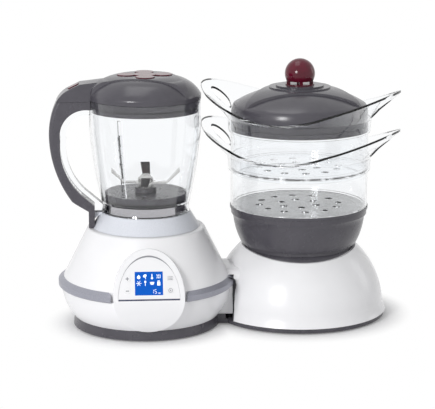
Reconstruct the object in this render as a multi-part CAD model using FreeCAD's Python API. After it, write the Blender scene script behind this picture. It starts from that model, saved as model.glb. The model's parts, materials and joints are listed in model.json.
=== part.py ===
"""Baby food maker: a jug blender and a two-tier steamer that share one base.

Millimetres, +Z up, the console faces -Y. The origin is the middle of the footprint, on the table.
Each function makes one piece. Blender pieces are drawn about the blender's axis and steamer pieces
about the steamer's axis, and are moved to their places at the end.
"""
import FreeCAD, Part
import math
import os

V = FreeCAD.Vector
UP = V(0, 0, 1)
QUARTERS = (0.0, 90.0, 180.0, 270.0)

# Layout: the blender stands on the left, the steamer on the right and further back
UNIT_OVERLAP = 22.0
AXIS_DY = 30.0
WALL = 2.5
LIFT_GAP = 0.3
FIT_GAP = 0.3

# Base plate and feet
FOOT_PROUD = 1.5
FOOT_R = 7.0
FOOT_SEAT = 1.0
FOOT_EDGE_IN = 12.0
FOOT_TURNS = (38.0, 142.0, 218.0, 322.0)
TRAY_PROUD = 1.0
TRAY_TOP_IN = 0.3
TRAY_H = 10.0
TRAY_FLOOR = 2.5
PLATE_EDGE_IN = 1.7
PLATE_H = 4.7
BRIDGE_FRONT = 17.0
BRIDGE_BACK = 70.0
SCREW_R = 1.6
SCREW_HEAD_R = 3.4
SCREW_HEAD_H = 2.2
SCREW_BITE = 9.0
BOSS_R = 4.5
TRAY_BOSS_IN = 7.0
PLATE_BOSS_IN = 9.0
BOSS_RISE = 13.0
SCREW_TURNS = (0.0, 120.0, 240.0)
BELL_SCREW_TURNS = (60.0, 180.0, 300.0)

# Blender casing
LOWER_R = 75.0
LOWER_BULGE = 2.8
LOWER_H = 31.2
BELT_R = 88.0
BAND_H = 9.8
BAND_PROUD = 3.0
BAND_SEAT_IN = 3.0
BAND_END_GAP = 2.6
BAND_EDGE = 1.2
BAND_CORNER = 3.0
CONE_R = 85.5
CONE_H = 51.0
DECK_R = 60.0
DECK_ROUND = 3.0
DRIVE_WELL_R = 11.0

# Console on the front of the blender casing
CONSOLE_HALF_W = 35.6
CONSOLE_UP = 44.5
CONSOLE_MID_RISE = 7.3
CONSOLE_PROUD = 3.4
TONGUE_PROUD = 3.5
LIP_RISE = 4.3
FACE_HALF_W = 30.6
FACE_H = 44.0
FACE_T = 1.8
FACE_INSET = 0.6
FACE_GAP = 0.2
FACE_FROM_LIP = 2.4
SLOT_H = 1.8
LCD_W = 28.0
LCD_H = 24.0
LCD_UP = 15.9
LCD_MODULE_EDGE = 2.0
KEY_X = 21.4
KEY_W = 6.4
KEY_H = 5.6
KEY_STEP = 12.3
KEY_LOW_UP = 8.5
KEY_PROUD = 0.3
KEY_FLANGE = 0.8
KEY_TRAVEL = 0.8
SWITCH_W = 5.0
SWITCH_T = 2.1
BOARD_W = 54.0
BOARD_H = 34.4
BOARD_T = 1.6
BOARD_ROUND = 10.5
WINDOW_GAP = 1.5
PEG_R = 2.0

# Motor and drive
MOTOR_R = 32.0
MOTOR_H = 46.0
MOTOR_TOP_DROP = 18.0
BRACKET_IN = 2.0
BRACKET_T = 3.0
BRACKET_POST_R = 4.5
BRACKET_POST_IN = 10.0
POST_TURNS = (45.0, 135.0, 225.0, 315.0)
SHAFT_R = 4.0
SHAFT_RUN = 0.05
SHAFT_TAIL = 16.0
FAN_R = 30.0
FAN_HUB_R = 9.0
FAN_H = 8.0
FAN_BLADES = 9
FAN_BLADE_T = 1.6
DOG_R = 13.0
DOG_ROOT_R = 8.5
DOG_H = 7.5
DOG_TEETH = 6
DOG_CLEAR = 0.5

# Jug
SKIRT_IN = 4.8
SKIRT_H = 23.2
WAIST_R = 44.6
WAIST_FLARE = 1.4
WAIST_DROP = 8.0
WAIST_HOLLOW = 0.6
CUP_R = 57.0
CUP_H = 109.0
CUP_STRAIGHT = 31.0
CUP_SWELL = 1.6
JUG_WALL = 2.4
RIB_W = 3.0
RIB_DEPTH = 3.4
RIB_LOW = 0.6
RIB_TOP_DROP = 30.0
RIB_TURNS = (0.0, 120.0, 240.0)
HANDLE_REACH = 98.0
HANDLE_TOP_IN = 8.0
HANDLE_BEND_DROP = 34.0
HANDLE_FOOT_DROP = 103.0
HANDLE_FOOT_IN = 22.0
HANDLE_TOP_DROP = 1.6
GRIP_T = 11.5
GRIP_W = 24.0
GRIP_ARM_T = 8.5
GRIP_ROUND = 4.0
GRIP_KNEE = 11.4
GRIP_BELLY = 7.0
GRIP_FOOT_IN = 20.5
GRIP_FOOT_UP = 6.9
CLEAR_RIB_T = 6.0
CLEAR_RIB_W = 12.0
RIB_FOOT_DROP = 14.0
TAIL_EDGE_IN = 1.2
TAIL_T = 6.2
TAIL_TURN = 6.0
PIN_R = 1.2
PIN_IN = 2.9
PIN_H = 18.0
PIN_BELOW_DECK = 3.5
PIN_TRAVEL = 3.0
PIN_GAP = 0.4

# Blade unit in the jug's waist
LEDGE_R = 36.0
LEDGE_T = 2.5
LEDGE_RISE = 2.5
SEAT_T = 6.0
SEAT_HUB_R = 11.0
SEAT_HUB_H = 5.0
STEM_R = 35.5
STEM_BORE_R = 21.0
NUT_H = 9.0
NUT_R = 41.5
SEAL_T = 1.6
SEAL_R = 41.0
BUSH_R = 6.5
BUSH_BELOW = 13.0
BLADE_R = 35.0
BLADE_FLAT = 21.7
BLADE_TAPER = 10.0
BLADE_W = 11.0
BLADE_T = 1.6
BLADE_RISE = 12.0
BLADE_HUB_R = 8.0
BLADE_HUB_H = 7.0
SOCKET_R = 18.0
SOCKET_ROOF = 3.0

# Blender lid
LID_R = 57.2
LID_LIP_H = 2.4
LID_SHOULDER_R = 42.0
LID_SHOULDER_DROP = 3.0
LID_TOP_R = 28.0
LID_BULGE = 5.2
LID_CROWN = 0.4
LID_RISE = 23.8
LID_SKIRT = 12.5
LID_SKIRT_GAP = 0.3
LID_SCOOP_OUT = 30.0
LID_SCOOP_TOP_R = 26.0
LID_SCOOP_TOP_DROP = 1.7
LID_SCOOP_FOOT_R = 57.6
LID_SCOOP_FOOT_UP = 4.3
LID_SCOOP_SWELL = 5.2
LID_SCOOP_TURNS = (-14.0, 106.0, 226.0)
GASKET_H = 2.0
GASKET_T = 1.4
GASKET_UP = 4.0
TONGUE_W = 26.0
TONGUE_KNEE_IN = 19.0
TONGUE_KNEE_UP = 11.5
TONGUE_ROUND = 1.2
TONGUE_BROW_IN = 32.0
TONGUE_BROW_UP = 17.8
TONGUE_ROOT_R = 40.0
TONGUE_ROOT_UP = 20.8
BUTTON_OUT = 72.5
BUTTON_L = 12.0
BUTTON_W = 10.0
BUTTON_DEEP = 5.0
BUTTON_PROUD = 0.8
BUTTON_TRAVEL = 1.5
CAP_PETAL_R = 9.5
CAP_PETAL_OUT = 18.5
CAP_DISC_R = 12.0
CAP_INSET = 2.0
CAP_PROUD = 0.9
CAP_STEM_R = 13.0
CAP_STEM_H = 9.0
CAP_GAP = 0.4

# Neck between the two casings
NECK_FRONT = 16.0
NECK_BACK = 46.0
NECK_TOP = 58.0
NECK_ROUND = 14.0

# Steamer casing and tank
BELL_FOOT_R = 93.0
BELL_FLARE_H = 14.8
BELL_FLARE_IN = 4.0
BELL_FLARE_HOLLOW = 0.85
BELL_H = 68.8
BELL_TOP_R = 60.2
BELL_SWELL = 5.5
SCOOP_DEEP = 6.3
BELL_NOTCH_GAP = 1.0
TANK_RISE = 2.0
TANK_R = 57.6
TANK_WALL = 3.5
TANK_DEEP = 17.0
TANK_FLOOR = 4.0
HEATER_WINDOW_R = 40.0
HEATER_R = 46.0
HEATER_T = 2.5
ELEMENT_R = 30.0
ELEMENT_TUBE_R = 3.5
THERMOSTAT_R = 9.0
THERMOSTAT_H = 7.0

# Bowl
BOWL_H = 39.9
BOWL_FOOT_R = 60.4
BOWL_SIDE_R = 69.1
BOWL_RIM_R = 72.5
BOWL_RIM_H = 8.0
BOWL_RIM_STEP = 3.0
BOWL_LIP_H = 2.6
BOWL_LIP_OUT = 1.2
BOWL_SWELL = 1.5
BOWL_WALL = 2.2
BOWL_SPIGOT_H = 7.0
BOWL_SPIGOT_GAP = 0.6
CHIMNEY_R = 11.0
CHIMNEY_H = 32.0

# Baskets: both are the same moulding
BASKET_R = 71.8
BASKET_WALL = 1.7
BASKET_SPIGOT_H = 5.5
BASKET_SPIGOT_IN = 2.4
BASKET_PITCH = 40.5
BASKET_STEP = 2.4
BASKET_COLLAR_H = 13.3
BASKET_COLLAR_FLARE = 1.0
EAR_BEND_OUT = 9.7
EAR_BEND_H = 11.2
EAR_TIP_R = 107.5
EAR_RISE = 20.0
EAR_OVERRUN = 1.1
EAR_TURN = -27.0
EAR_HOLE_OUT = 89.0
EAR_HOLE_R = 10.5
EAR_HOLE_LOW = 14.0
FLOOR_T = 2.0
FLOOR_HOLE_R = 4.0
FLOOR_INNER_R = 20.0
FLOOR_INNER_COUNT = 6
FLOOR_OUTER_R = 42.0
FLOOR_OUTER_COUNT = 12

# Steamer lid
COVER_R = 71.5
COVER_SIDE_H = 15.5
COVER_SHOULDER_R = 62.0
COVER_SHOULDER_UP = 33.0
COVER_ROUND_OUT = 2.7
COVER_TOP_R = 33.5
COVER_H = 42.5
COVER_CROWN = 1.15
COVER_BEAD_UP = 4.5
COVER_BEAD_H = 1.6
COVER_BEAD_IN = 0.7
COVER_SCOOP_OUT = 36.0
COVER_SCOOP_TOP_R = 31.0
COVER_SCOOP_TOP_DROP = 1.4
COVER_SCOOP_FOOT_R = 69.5
COVER_SCOOP_FOOT_UP = 25.5
COVER_SCOOP_SWELL = 2.0
SCOOP_TURNS = (0.0, 120.0, 240.0)
TOP_PLATE_R = 32.0
TOP_PLATE_STEP_R = 25.0
TOP_PLATE_T = 1.5
KNOB_RING_R = 15.0
KNOB_RING_T = 1.2
KNOB_R = 15.7
KNOB_BALL_CUT = 7.5
KNOB_LEG_H = 3.0
KNOB_LEG_W = 3.4
KNOB_LEG_T = 3.8
KNOB_ROOT = 1.0
KNOB_POST_R = 3.2
KNOB_SCREW_R = 1.6
KNOB_SCREW_HEAD_R = 5.0
KNOB_SCREW_HEAD_H = 2.5

# Cord gland in the back of the blender casing
GLAND_R = 6.0
GLAND_BORE_R = 3.6
GLAND_FLANGE_R = 8.5
GLAND_PROUD = 6.0
GLAND_DEEP = 10.0
GLAND_UP = 12.0

# Sizes that follow the casings they sit on
TRAY_R = LOWER_R + TRAY_PROUD
TRAY_TOP_R = LOWER_R - TRAY_TOP_IN
TRAY_BOSS_OUT = LOWER_R - TRAY_BOSS_IN
PLATE_R = BELL_FOOT_R - PLATE_EDGE_IN
PLATE_BOSS_OUT = BELL_FOOT_R - PLATE_BOSS_IN
BAND_R = BELT_R + BAND_PROUD
BAND_SEAT_R = BELT_R - BAND_SEAT_IN
AXIS_DX = BAND_R + BELL_FOOT_R - UNIT_OVERLAP
BRACKET_R = DECK_R - BRACKET_IN
BRACKET_POST_OUT = DECK_R - BRACKET_POST_IN
SKIRT_R = DECK_R - SKIRT_IN
TAIL_R = DECK_R - TAIL_EDGE_IN
PIN_OUT = DECK_R - PIN_IN

# Heights worked out from the stack of pieces
Z_TRAY = FOOT_PROUD + TRAY_H
Z_BAND = Z_TRAY + LOWER_H
Z_SPLIT = Z_BAND + BAND_H / 2
Z_CONE = Z_BAND + BAND_H
Z_DECK = Z_CONE + CONE_H
Z_JUG = Z_DECK + LIFT_GAP
Z_WAIST = Z_JUG + SKIRT_H
Z_RIM = Z_WAIST + CUP_H
Z_LID = Z_RIM + LIFT_GAP
Z_LID_TOP = Z_LID + LID_RISE
Z_HANDLE = Z_RIM - HANDLE_TOP_DROP
Z_PLATE = FOOT_PROUD + PLATE_H
Z_BELL = Z_PLATE + BELL_H
Z_TANK = Z_BELL + TANK_RISE
Z_TANK_FLOOR = Z_TANK - TANK_DEEP
Z_TANK_LOW = Z_TANK_FLOOR - TANK_FLOOR
Z_BOWL = Z_TANK + LIFT_GAP
Z_BOWL_TOP = Z_BOWL + BOWL_H
Z_BASKET = Z_BOWL_TOP + LIFT_GAP - BASKET_SPIGOT_H
Z_BASKET_2 = Z_BASKET + BASKET_PITCH
BASKET_LEDGE = BASKET_SPIGOT_H + BASKET_PITCH - LIFT_GAP
Z_COVER = Z_BASKET_2 + BASKET_LEDGE + LIFT_GAP
Z_TOP_PLATE = Z_COVER + COVER_H
Z_KNOB = Z_TOP_PLATE + 2 * TOP_PLATE_T

# Cone of the upper casing, which the console's face follows
CONE_SLOPE = (CONE_R - DECK_R) / CONE_H
CONE_TILT = math.atan(CONE_SLOPE)
Z_LIP = Z_BAND + LIP_RISE
CONSOLE_MID = Z_BAND + CONSOLE_MID_RISE
CONSOLE_REACH = CONE_R + (Z_CONE - Z_LIP) * CONE_SLOPE + CONSOLE_PROUD

# Places of the two axes: the origin is the middle of the whole object's footprint
EAR_RIM_R = BASKET_R + BASKET_STEP + BASKET_COLLAR_FLARE
EAR_ANGLE = math.radians(EAR_TURN)
EAR_REACH_X = math.hypot(EAR_TIP_R * math.cos(EAR_ANGLE), EAR_RIM_R * math.sin(EAR_ANGLE))
BLENDER = V((HANDLE_REACH - AXIS_DX - EAR_REACH_X) / 2, (CONSOLE_REACH - AXIS_DY - BELL_FOOT_R) / 2, 0)
STEAMER = BLENDER + V(AXIS_DX, AXIS_DY, 0)
TO_STEAMER = V(AXIS_DX, AXIS_DY, 0)


# Drawing helpers: a path is a list of (r, z) points, and ((r, z), (r, z)) is an arc by its middle and end

def end_of(step):
    """Last point of a path step."""
    return step[1] if isinstance(step[0], tuple) else step


def edges_of(path):
    """Edges along a path, in the XZ plane."""
    edges = []
    for before, step in zip(path, path[1:]):
        start, end = end_of(before), end_of(step)
        a, b = V(start[0], 0, start[1]), V(end[0], 0, end[1])
        if isinstance(step[0], tuple):
            middle = V(step[0][0], 0, step[0][1])
            edges.append(Part.Arc(a, middle, b).toShape())
        else:
            edges.append(Part.LineSegment(a, b).toShape())
    return edges


def backwards(path):
    """The same path, drawn from its end to its start."""
    ends = [end_of(step) for step in path]
    steps = [ends[-1]]
    for index in range(len(path) - 1, 0, -1):
        step = path[index]
        steps.append((step[0], ends[index - 1]) if isinstance(step[0], tuple) else ends[index - 1])
    return steps


def bulge(start, end, depth):
    """Step to an end point by an arc whose middle stands off the chord, to the right of travel."""
    run, rise = end[0] - start[0], end[1] - start[1]
    off = depth / math.hypot(run, rise)
    return (((start[0] + end[0]) / 2 + off * rise, (start[1] + end[1]) / 2 - off * run), end)


def rounded_corner(before, corner, after, radius):
    """Steps that round the corner between two straight lines: the start of the arc, then the arc."""
    point = V(corner[0], 0, corner[1])
    back = (V(before[0], 0, before[1]) - point).normalize()
    ahead = (V(after[0], 0, after[1]) - point).normalize()
    half = back.getAngle(ahead) / 2
    start, end = point + back * (radius / math.tan(half)), point + ahead * (radius / math.tan(half))
    middle = point + (back + ahead).normalize() * (radius / math.sin(half) - radius)
    return [(start.x, start.z), ((middle.x, middle.z), (end.x, end.z))]


def tangents(edge):
    """Directions at the start and the end of an edge, seen in the XZ plane."""
    first, last = edge.ParameterRange
    return edge.tangentAt(first), edge.tangentAt(last)


def to_left(direction):
    """The direction that lies to the left of travel, which is inwards on a wall drawn upwards."""
    return V(-direction.z, 0, direction.x)


def inset(path, depth):
    """A path that runs beside another one, at a depth to its left."""
    edges = edges_of(path)
    ways = [tangents(edge) for edge in edges]
    beside = []
    for index, step in enumerate(path):
        before = ways[max(index - 1, 0)][1 if index else 0]
        after = ways[min(index, len(ways) - 1)][0 if index < len(ways) else 1]
        side = (to_left(before) + to_left(after)).normalize()
        reach = depth / max(side.dot(to_left(after)), 0.3)
        point = end_of(step)
        spot = (point[0] + side.x * reach, point[1] + side.z * reach)
        if isinstance(step[0], tuple):
            edge = edges[index - 1]
            first, last = edge.ParameterRange
            across = to_left(edge.tangentAt((first + last) / 2))
            chord = edge.valueAt((first + last) / 2)
            middle = (chord.x + across.x * depth, chord.z + across.z * depth)
            beside.append((middle, spot))
        else:
            beside.append(spot)
    return beside


def face_of(path):
    """Flat face inside a path whose end is joined to its start."""
    return Part.Face(Part.Wire(Part.__sortEdges__(edges_of(path + [end_of(path[0])]))))


def turned(path):
    """Solid of revolution of a closed outline."""
    return face_of(path).revolve(V(0, 0, 0), UP, 360)


def filled(path):
    """Solid of revolution of everything between a path and the axis."""
    start, end = end_of(path[0]), end_of(path[-1])
    return turned(path + [(0, end[1]), (0, start[1])])


def walled(path, depth):
    """Revolved wall of an even thickness, with its outside on the path."""
    inner = backwards(inset(path, depth))
    return turned(path + inner)


def slab(path, width):
    """An outline in the XZ plane given a width along Y, half each way."""
    solid = face_of(path).extrude(V(0, width, 0))
    solid.translate(V(0, -width / 2, 0))
    return solid


def tube(radius, low, high, bore=0.0):
    """Upright cylinder or tube between two heights."""
    body = Part.makeCylinder(radius, high - low, V(0, 0, low))
    if bore:
        body = body.cut(Part.makeCylinder(bore, high - low, V(0, 0, low)))
    return body


def around(shape, turn):
    """A copy of a shape, turned about the axis."""
    copy = shape.copy()
    copy.rotate(V(0, 0, 0), UP, turn)
    return copy


def moved(shape, offset):
    """A copy of a shape, shifted."""
    copy = shape.copy()
    copy.translate(offset)
    return copy


def at_turns(shape, turns):
    """Copies of a shape at several turns about the axis."""
    return [around(shape, turn) for turn in turns]


def fused(shapes):
    """One solid from several that touch."""
    whole = shapes[0].multiFuse(shapes[1:]) if len(shapes) > 1 else shapes[0]
    return whole.removeSplitter()


def rounded_box(width, height, depth, radius):
    """Box centred in X and Y with round upright edges, from z = 0 upwards."""
    box = Part.makeBox(width, height, depth, V(-width / 2, -height / 2, 0))
    upright = [edge for edge in box.Edges if abs(edge.tangentAt(edge.FirstParameter).z) > 0.9]
    return box.makeFillet(radius, upright)


def ellipse_prism(half_x, half_y, low, high):
    """Upright prism with an oval outline."""
    big, small = max(half_x, half_y), min(half_x, half_y)
    curve = Part.Ellipse(V(0, 0, low), big, small).toShape()
    prism = Part.Face(Part.Wire([curve])).extrude(V(0, 0, high - low))
    return prism if half_x >= half_y else around(prism, 90)


# Outlines that several pieces share

def lower_path():
    """Outside of the blender's lower casing, from the tray up to the belt."""
    foot, belt = (LOWER_R, Z_TRAY), (BELT_R, Z_BAND)
    return [foot, bulge(foot, belt, LOWER_BULGE)]


def cone_path():
    """Outside of the blender's upper casing, from the band up to the deck's rounded edge."""
    foot, edge = (CONE_R, Z_CONE), (DECK_R, Z_DECK)
    return [foot] + rounded_corner(foot, edge, (0, Z_DECK), DECK_ROUND)


def blender_envelope():
    """Everything inside the blender casing's outside, without the band and the console."""
    seat = [(BAND_SEAT_R, Z_BAND), (BAND_SEAT_R, Z_CONE)]
    return filled(lower_path() + seat + cone_path())


def bell_path():
    """Outside of the steamer casing: a bell with a small flare at its foot."""
    foot, top = (BELL_FOOT_R, Z_PLATE), (BELL_TOP_R, Z_BELL)
    side = (BELL_FOOT_R - BELL_FLARE_IN, Z_PLATE + BELL_FLARE_H)
    return [foot, bulge(foot, side, -BELL_FLARE_HOLLOW), bulge(side, top, BELL_SWELL)]


def cup_path():
    """Outside of the jug: a flared skirt, a waist and a cup that opens upwards."""
    skirt_top = (WAIST_R + WAIST_FLARE, Z_WAIST - WAIST_DROP)
    waist, straight = (WAIST_R, Z_WAIST), (CUP_R, Z_RIM - CUP_STRAIGHT)
    return [(SKIRT_R, Z_JUG), skirt_top, bulge(skirt_top, waist, -WAIST_HOLLOW),
            bulge(waist, straight, CUP_SWELL), (CUP_R, Z_RIM)]


def upright_arc(bend, far):
    """Middle of the arc that leaves a bend straight up or down and ends at a far point further in."""
    run, rise = bend[0] - far[0], far[1] - bend[1]
    radius = (run ** 2 + rise ** 2) / (2 * run)
    half = math.asin(rise / radius) / 2
    return (bend[0] - radius * (1 - math.cos(half)), bend[1] + radius * math.sin(half))


def handle_path():
    """Outside of the handle, from the seam under the lid's tongue down to its foot."""
    top = (HANDLE_REACH - HANDLE_TOP_IN, Z_HANDLE)
    bend = (HANDLE_REACH, Z_HANDLE - HANDLE_BEND_DROP)
    foot = (HANDLE_REACH - HANDLE_FOOT_IN, Z_HANDLE - HANDLE_FOOT_DROP)
    tail = (TAIL_R, Z_WAIST - TAIL_TURN)
    return [top, (upright_arc(bend, top), bend), (upright_arc(bend, foot), foot), tail]


def oval_along_y(half_x, half_z, mid_z):
    """Oval prism that runs back from the front to the axis, drawn about a height."""
    prism = ellipse_prism(half_x, half_z, 0, CONSOLE_REACH)
    prism.rotate(V(0, 0, 0), V(1, 0, 0), 90)
    prism.translate(V(0, 0, mid_z))
    return prism


def console_outline(grow=0.0):
    """Egg-shaped prism of the console: a tall oval above its widest line and a short one below."""
    half_w = CONSOLE_HALF_W + grow
    box = Part.makeBox(4 * half_w, CONSOLE_REACH, Z_DECK, V(-2 * half_w, -CONSOLE_REACH, CONSOLE_MID))
    upper = oval_along_y(half_w, CONSOLE_UP + grow, CONSOLE_MID).common(box)
    lower = oval_along_y(half_w, CONSOLE_MID - Z_TRAY + grow, CONSOLE_MID).cut(box)
    return fused([upper, lower])


def on_face(shape):
    """Puts a shape drawn flat (X across, Y up the face, Z outwards) on the console's sloping front."""
    placed = shape.copy()
    placed.rotate(V(0, 0, 0), V(1, 0, 0), 90 - math.degrees(CONE_TILT))
    placed.translate(V(0, -CONSOLE_REACH, Z_LIP))
    return placed


def face_arch(half_w, height, low, high):
    """Half-oval prism with its flat side at the foot of the face, between two depths."""
    oval = ellipse_prism(half_w, height, low, high)
    above = Part.makeBox(4 * half_w, 2 * height, high - low, V(-2 * half_w, 0, low))
    return moved(oval.common(above), V(0, FACE_FROM_LIP, 0))


def key_spots():
    """Middles of the four keys on the face, named by what they do."""
    low = FACE_FROM_LIP + KEY_LOW_UP
    return {"key_plus": (-KEY_X, low + KEY_STEP), "key_minus": (-KEY_X, low),
            "key_mode": (KEY_X, low + KEY_STEP), "key_start": (KEY_X, low)}


# Depths on the face, counted outwards from the raised border
FACE_FRONT = -FACE_INSET
FACE_BACK = FACE_FRONT - FACE_T
KEY_BACK = FACE_BACK - FIT_GAP - KEY_FLANGE
SWITCH_FRONT = KEY_BACK - KEY_TRAVEL - FIT_GAP / 3
BOARD_FRONT = SWITCH_FRONT - SWITCH_T
BOARD_BACK = BOARD_FRONT - BOARD_T
LCD_MIDDLE = V(0, FACE_FROM_LIP + LCD_UP, 0)


def board_window(lower=0.0):
    """Space through the casing for the board behind the face, made longer downwards if asked."""
    width, height = BOARD_W + 2 * WINDOW_GAP, BOARD_H + 2 * WINDOW_GAP + lower
    deep = BOARD_BACK - 3 * WALL
    space = rounded_box(width, height, FACE_BACK - deep, BOARD_ROUND + WINDOW_GAP)
    return on_face(moved(space, LCD_MIDDLE + V(0, -lower / 2, deep)))


# Base pieces

def foot_spots():
    """Middles of the rubber feet under both units, about the blender's axis."""
    blender = [around(Part.Vertex(0, FOOT_EDGE_IN - TRAY_R, 0), turn).Point for turn in FOOT_TURNS]
    steamer = [around(Part.Vertex(0, FOOT_EDGE_IN - PLATE_R, 0), turn).Point for turn in FOOT_TURNS]
    return blender + [spot + TO_STEAMER for spot in steamer]


def screw_spots():
    """Middles of the casing screws: (spot, height of the seam they draw together)."""
    blender = [around(Part.Vertex(0, TRAY_BOSS_OUT, 0), turn).Point for turn in SCREW_TURNS]
    steamer = [around(Part.Vertex(0, PLATE_BOSS_OUT, 0), turn).Point for turn in BELL_SCREW_TURNS]
    return [(spot, Z_TRAY) for spot in blender] + [(spot + TO_STEAMER, Z_PLATE) for spot in steamer]


def base_plate():
    """Dark tray under the blender, thin plate under the steamer and the bridge that joins them."""
    floor_z = FOOT_PROUD + TRAY_FLOOR
    dish = turned([(0, FOOT_PROUD), (TRAY_R, FOOT_PROUD), (TRAY_TOP_R, Z_TRAY), (TRAY_TOP_R - WALL, Z_TRAY),
                   (TRAY_R - WALL, floor_z), (0, floor_z)])
    plate = moved(tube(PLATE_R, FOOT_PROUD, Z_PLATE), TO_STEAMER)
    bridge = Part.makeBox(AXIS_DX, BRIDGE_FRONT + BRIDGE_BACK, TRAY_H, V(0, -BRIDGE_FRONT, FOOT_PROUD))
    bridge = bridge.cut(tube(TRAY_TOP_R - WALL, FOOT_PROUD, Z_TRAY))
    bridge = bridge.cut(moved(tube(BELL_FOOT_R + LIFT_GAP, Z_PLATE, Z_TRAY), TO_STEAMER))
    posts = [moved(tube(BOSS_R, FOOT_PROUD, seam), spot) for spot, seam in screw_spots()]
    whole = fused([dish, plate, bridge] + posts)
    for spot, seam in screw_spots():
        whole = whole.cut(moved(tube(SCREW_R, FOOT_PROUD, seam), spot))
        whole = whole.cut(moved(tube(SCREW_HEAD_R, FOOT_PROUD, FOOT_PROUD + SCREW_HEAD_H), spot))
    for spot in foot_spots():
        whole = whole.cut(moved(tube(FOOT_R, FOOT_PROUD, FOOT_PROUD + FOOT_SEAT), spot))
    return whole


def rubber_feet():
    """Eight round feet, each pressed into a shallow seat."""
    foot = tube(FOOT_R, 0, FOOT_PROUD + FOOT_SEAT)
    return Part.makeCompound([moved(foot, spot) for spot in foot_spots()])


def case_screws():
    """Screws that draw both casings down on the base plate."""
    screws = []
    for spot, seam in screw_spots():
        head = tube(SCREW_HEAD_R, FOOT_PROUD, FOOT_PROUD + SCREW_HEAD_H)
        shank = tube(SCREW_R, FOOT_PROUD + SCREW_HEAD_H, seam + SCREW_BITE)
        screws.append(moved(fused([head, shank]), spot))
    return Part.makeCompound(screws)


# Blender casing

def blender_lower_housing():
    """White lower casing: a bulged ring with three screw bosses and a seat for the band."""
    seat = [(BAND_SEAT_R, Z_BAND), (BAND_SEAT_R, Z_SPLIT)]
    outside = filled(lower_path() + seat)
    hollow = filled(inset(lower_path() + seat, WALL))
    hollow = hollow.fuse(tube(LOWER_R - WALL, Z_TRAY, Z_TRAY + WALL)).fuse(
        tube(BAND_SEAT_R - WALL, Z_SPLIT - WALL, Z_SPLIT))
    shell = outside.cut(hollow)
    boss = moved(tube(BOSS_R, Z_TRAY, Z_TRAY + BOSS_RISE), V(0, TRAY_BOSS_OUT, 0))
    web = Part.makeBox(2 * WALL, BELT_R - TRAY_BOSS_OUT, BOSS_RISE, V(-WALL, TRAY_BOSS_OUT, Z_TRAY))
    boss = fused([boss, web]).common(outside)
    shell = fused([shell] + at_turns(boss, SCREW_TURNS))
    drill = moved(tube(SCREW_R, Z_TRAY, Z_TRAY + SCREW_BITE), V(0, TRAY_BOSS_OUT, 0))
    for one in at_turns(drill, SCREW_TURNS):
        shell = shell.cut(one)
    return shell.cut(gland_hole()).cut(board_window(BAND_H))


def blender_upper_housing():
    """White cone with the deck for the jug, four motor posts and the board's window."""
    seat = [(BAND_SEAT_R, Z_SPLIT), (BAND_SEAT_R, Z_CONE)]
    outside = filled(seat + cone_path())
    inner = [(BAND_SEAT_R - WALL, Z_SPLIT), (CONE_R - WALL - CONE_SLOPE * WALL, Z_CONE),
             (DECK_R - WALL, Z_DECK - WALL)]
    shell = outside.cut(filled(inner))
    post = tube(BRACKET_POST_R, Z_DECK - MOTOR_TOP_DROP + BRACKET_T, Z_DECK - WALL)
    posts = at_turns(moved(post, V(BRACKET_POST_OUT, 0, 0)), POST_TURNS)
    shell = fused([shell] + posts)
    shell = shell.cut(tube(DRIVE_WELL_R, Z_DECK - WALL, Z_DECK))
    pin_hole = moved(tube(PIN_R + PIN_GAP, Z_DECK - 3 * WALL, Z_DECK), V(-PIN_OUT, 0, 0))
    return shell.cut(pin_hole).cut(board_window(BAND_H))


def waist_band():
    """Grey band round the casing's waist, open at the front where the console comes through."""
    band = turned([(BAND_SEAT_R, Z_BAND), (BAND_R - BAND_EDGE, Z_BAND), (BAND_R, Z_BAND + BAND_EDGE),
                   (BAND_R, Z_SPLIT + BAND_EDGE), (CONE_R + BAND_EDGE / 2, Z_CONE), (BAND_SEAT_R, Z_CONE)])
    gap = Part.makeBox(2 * (CONSOLE_HALF_W + BAND_END_GAP), 2 * BAND_R, 2 * BAND_H,
                       V(-CONSOLE_HALF_W - BAND_END_GAP, -2 * BAND_R, Z_BAND - BAND_H / 2))
    band = band.cut(gap)
    end_x, low = CONSOLE_HALF_W + BAND_END_GAP, Z_CONE - BAND_CORNER
    corner = Part.makeBox(BAND_CORNER, 2 * BAND_R, BAND_CORNER, V(end_x, -2 * BAND_R, low))
    rod = Part.makeCylinder(BAND_CORNER, 2 * BAND_R, V(end_x + BAND_CORNER, 0, low), V(0, -1, 0))
    corner = corner.cut(rod)
    return band.cut(corner).cut(corner.mirror(V(0, 0, 0), V(1, 0, 0)))


def gland_hole():
    """Round hole for the cord gland in the back of the lower casing."""
    return Part.makeCylinder(GLAND_R, BELT_R, V(0, BELT_R / 2, Z_TRAY + GLAND_UP), V(0, 1, 0))


def cord_gland():
    """Rubber bush in the back of the casing where a mains lead goes in."""
    back = V(0, 1, 0)
    z = Z_TRAY + GLAND_UP
    sleeve = Part.makeCylinder(GLAND_R, GLAND_DEEP + GLAND_PROUD, V(0, BELT_R - GLAND_DEEP, z), back)
    flange = Part.makeCylinder(GLAND_FLANGE_R, GLAND_PROUD, V(0, BELT_R - WALL, z), back)
    bush = fused([sleeve, flange.cut(blender_envelope())])
    return bush.cut(Part.makeCylinder(GLAND_BORE_R, 4 * GLAND_DEEP, V(0, BELT_R - 2 * GLAND_DEEP, z), back))


# Console

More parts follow.
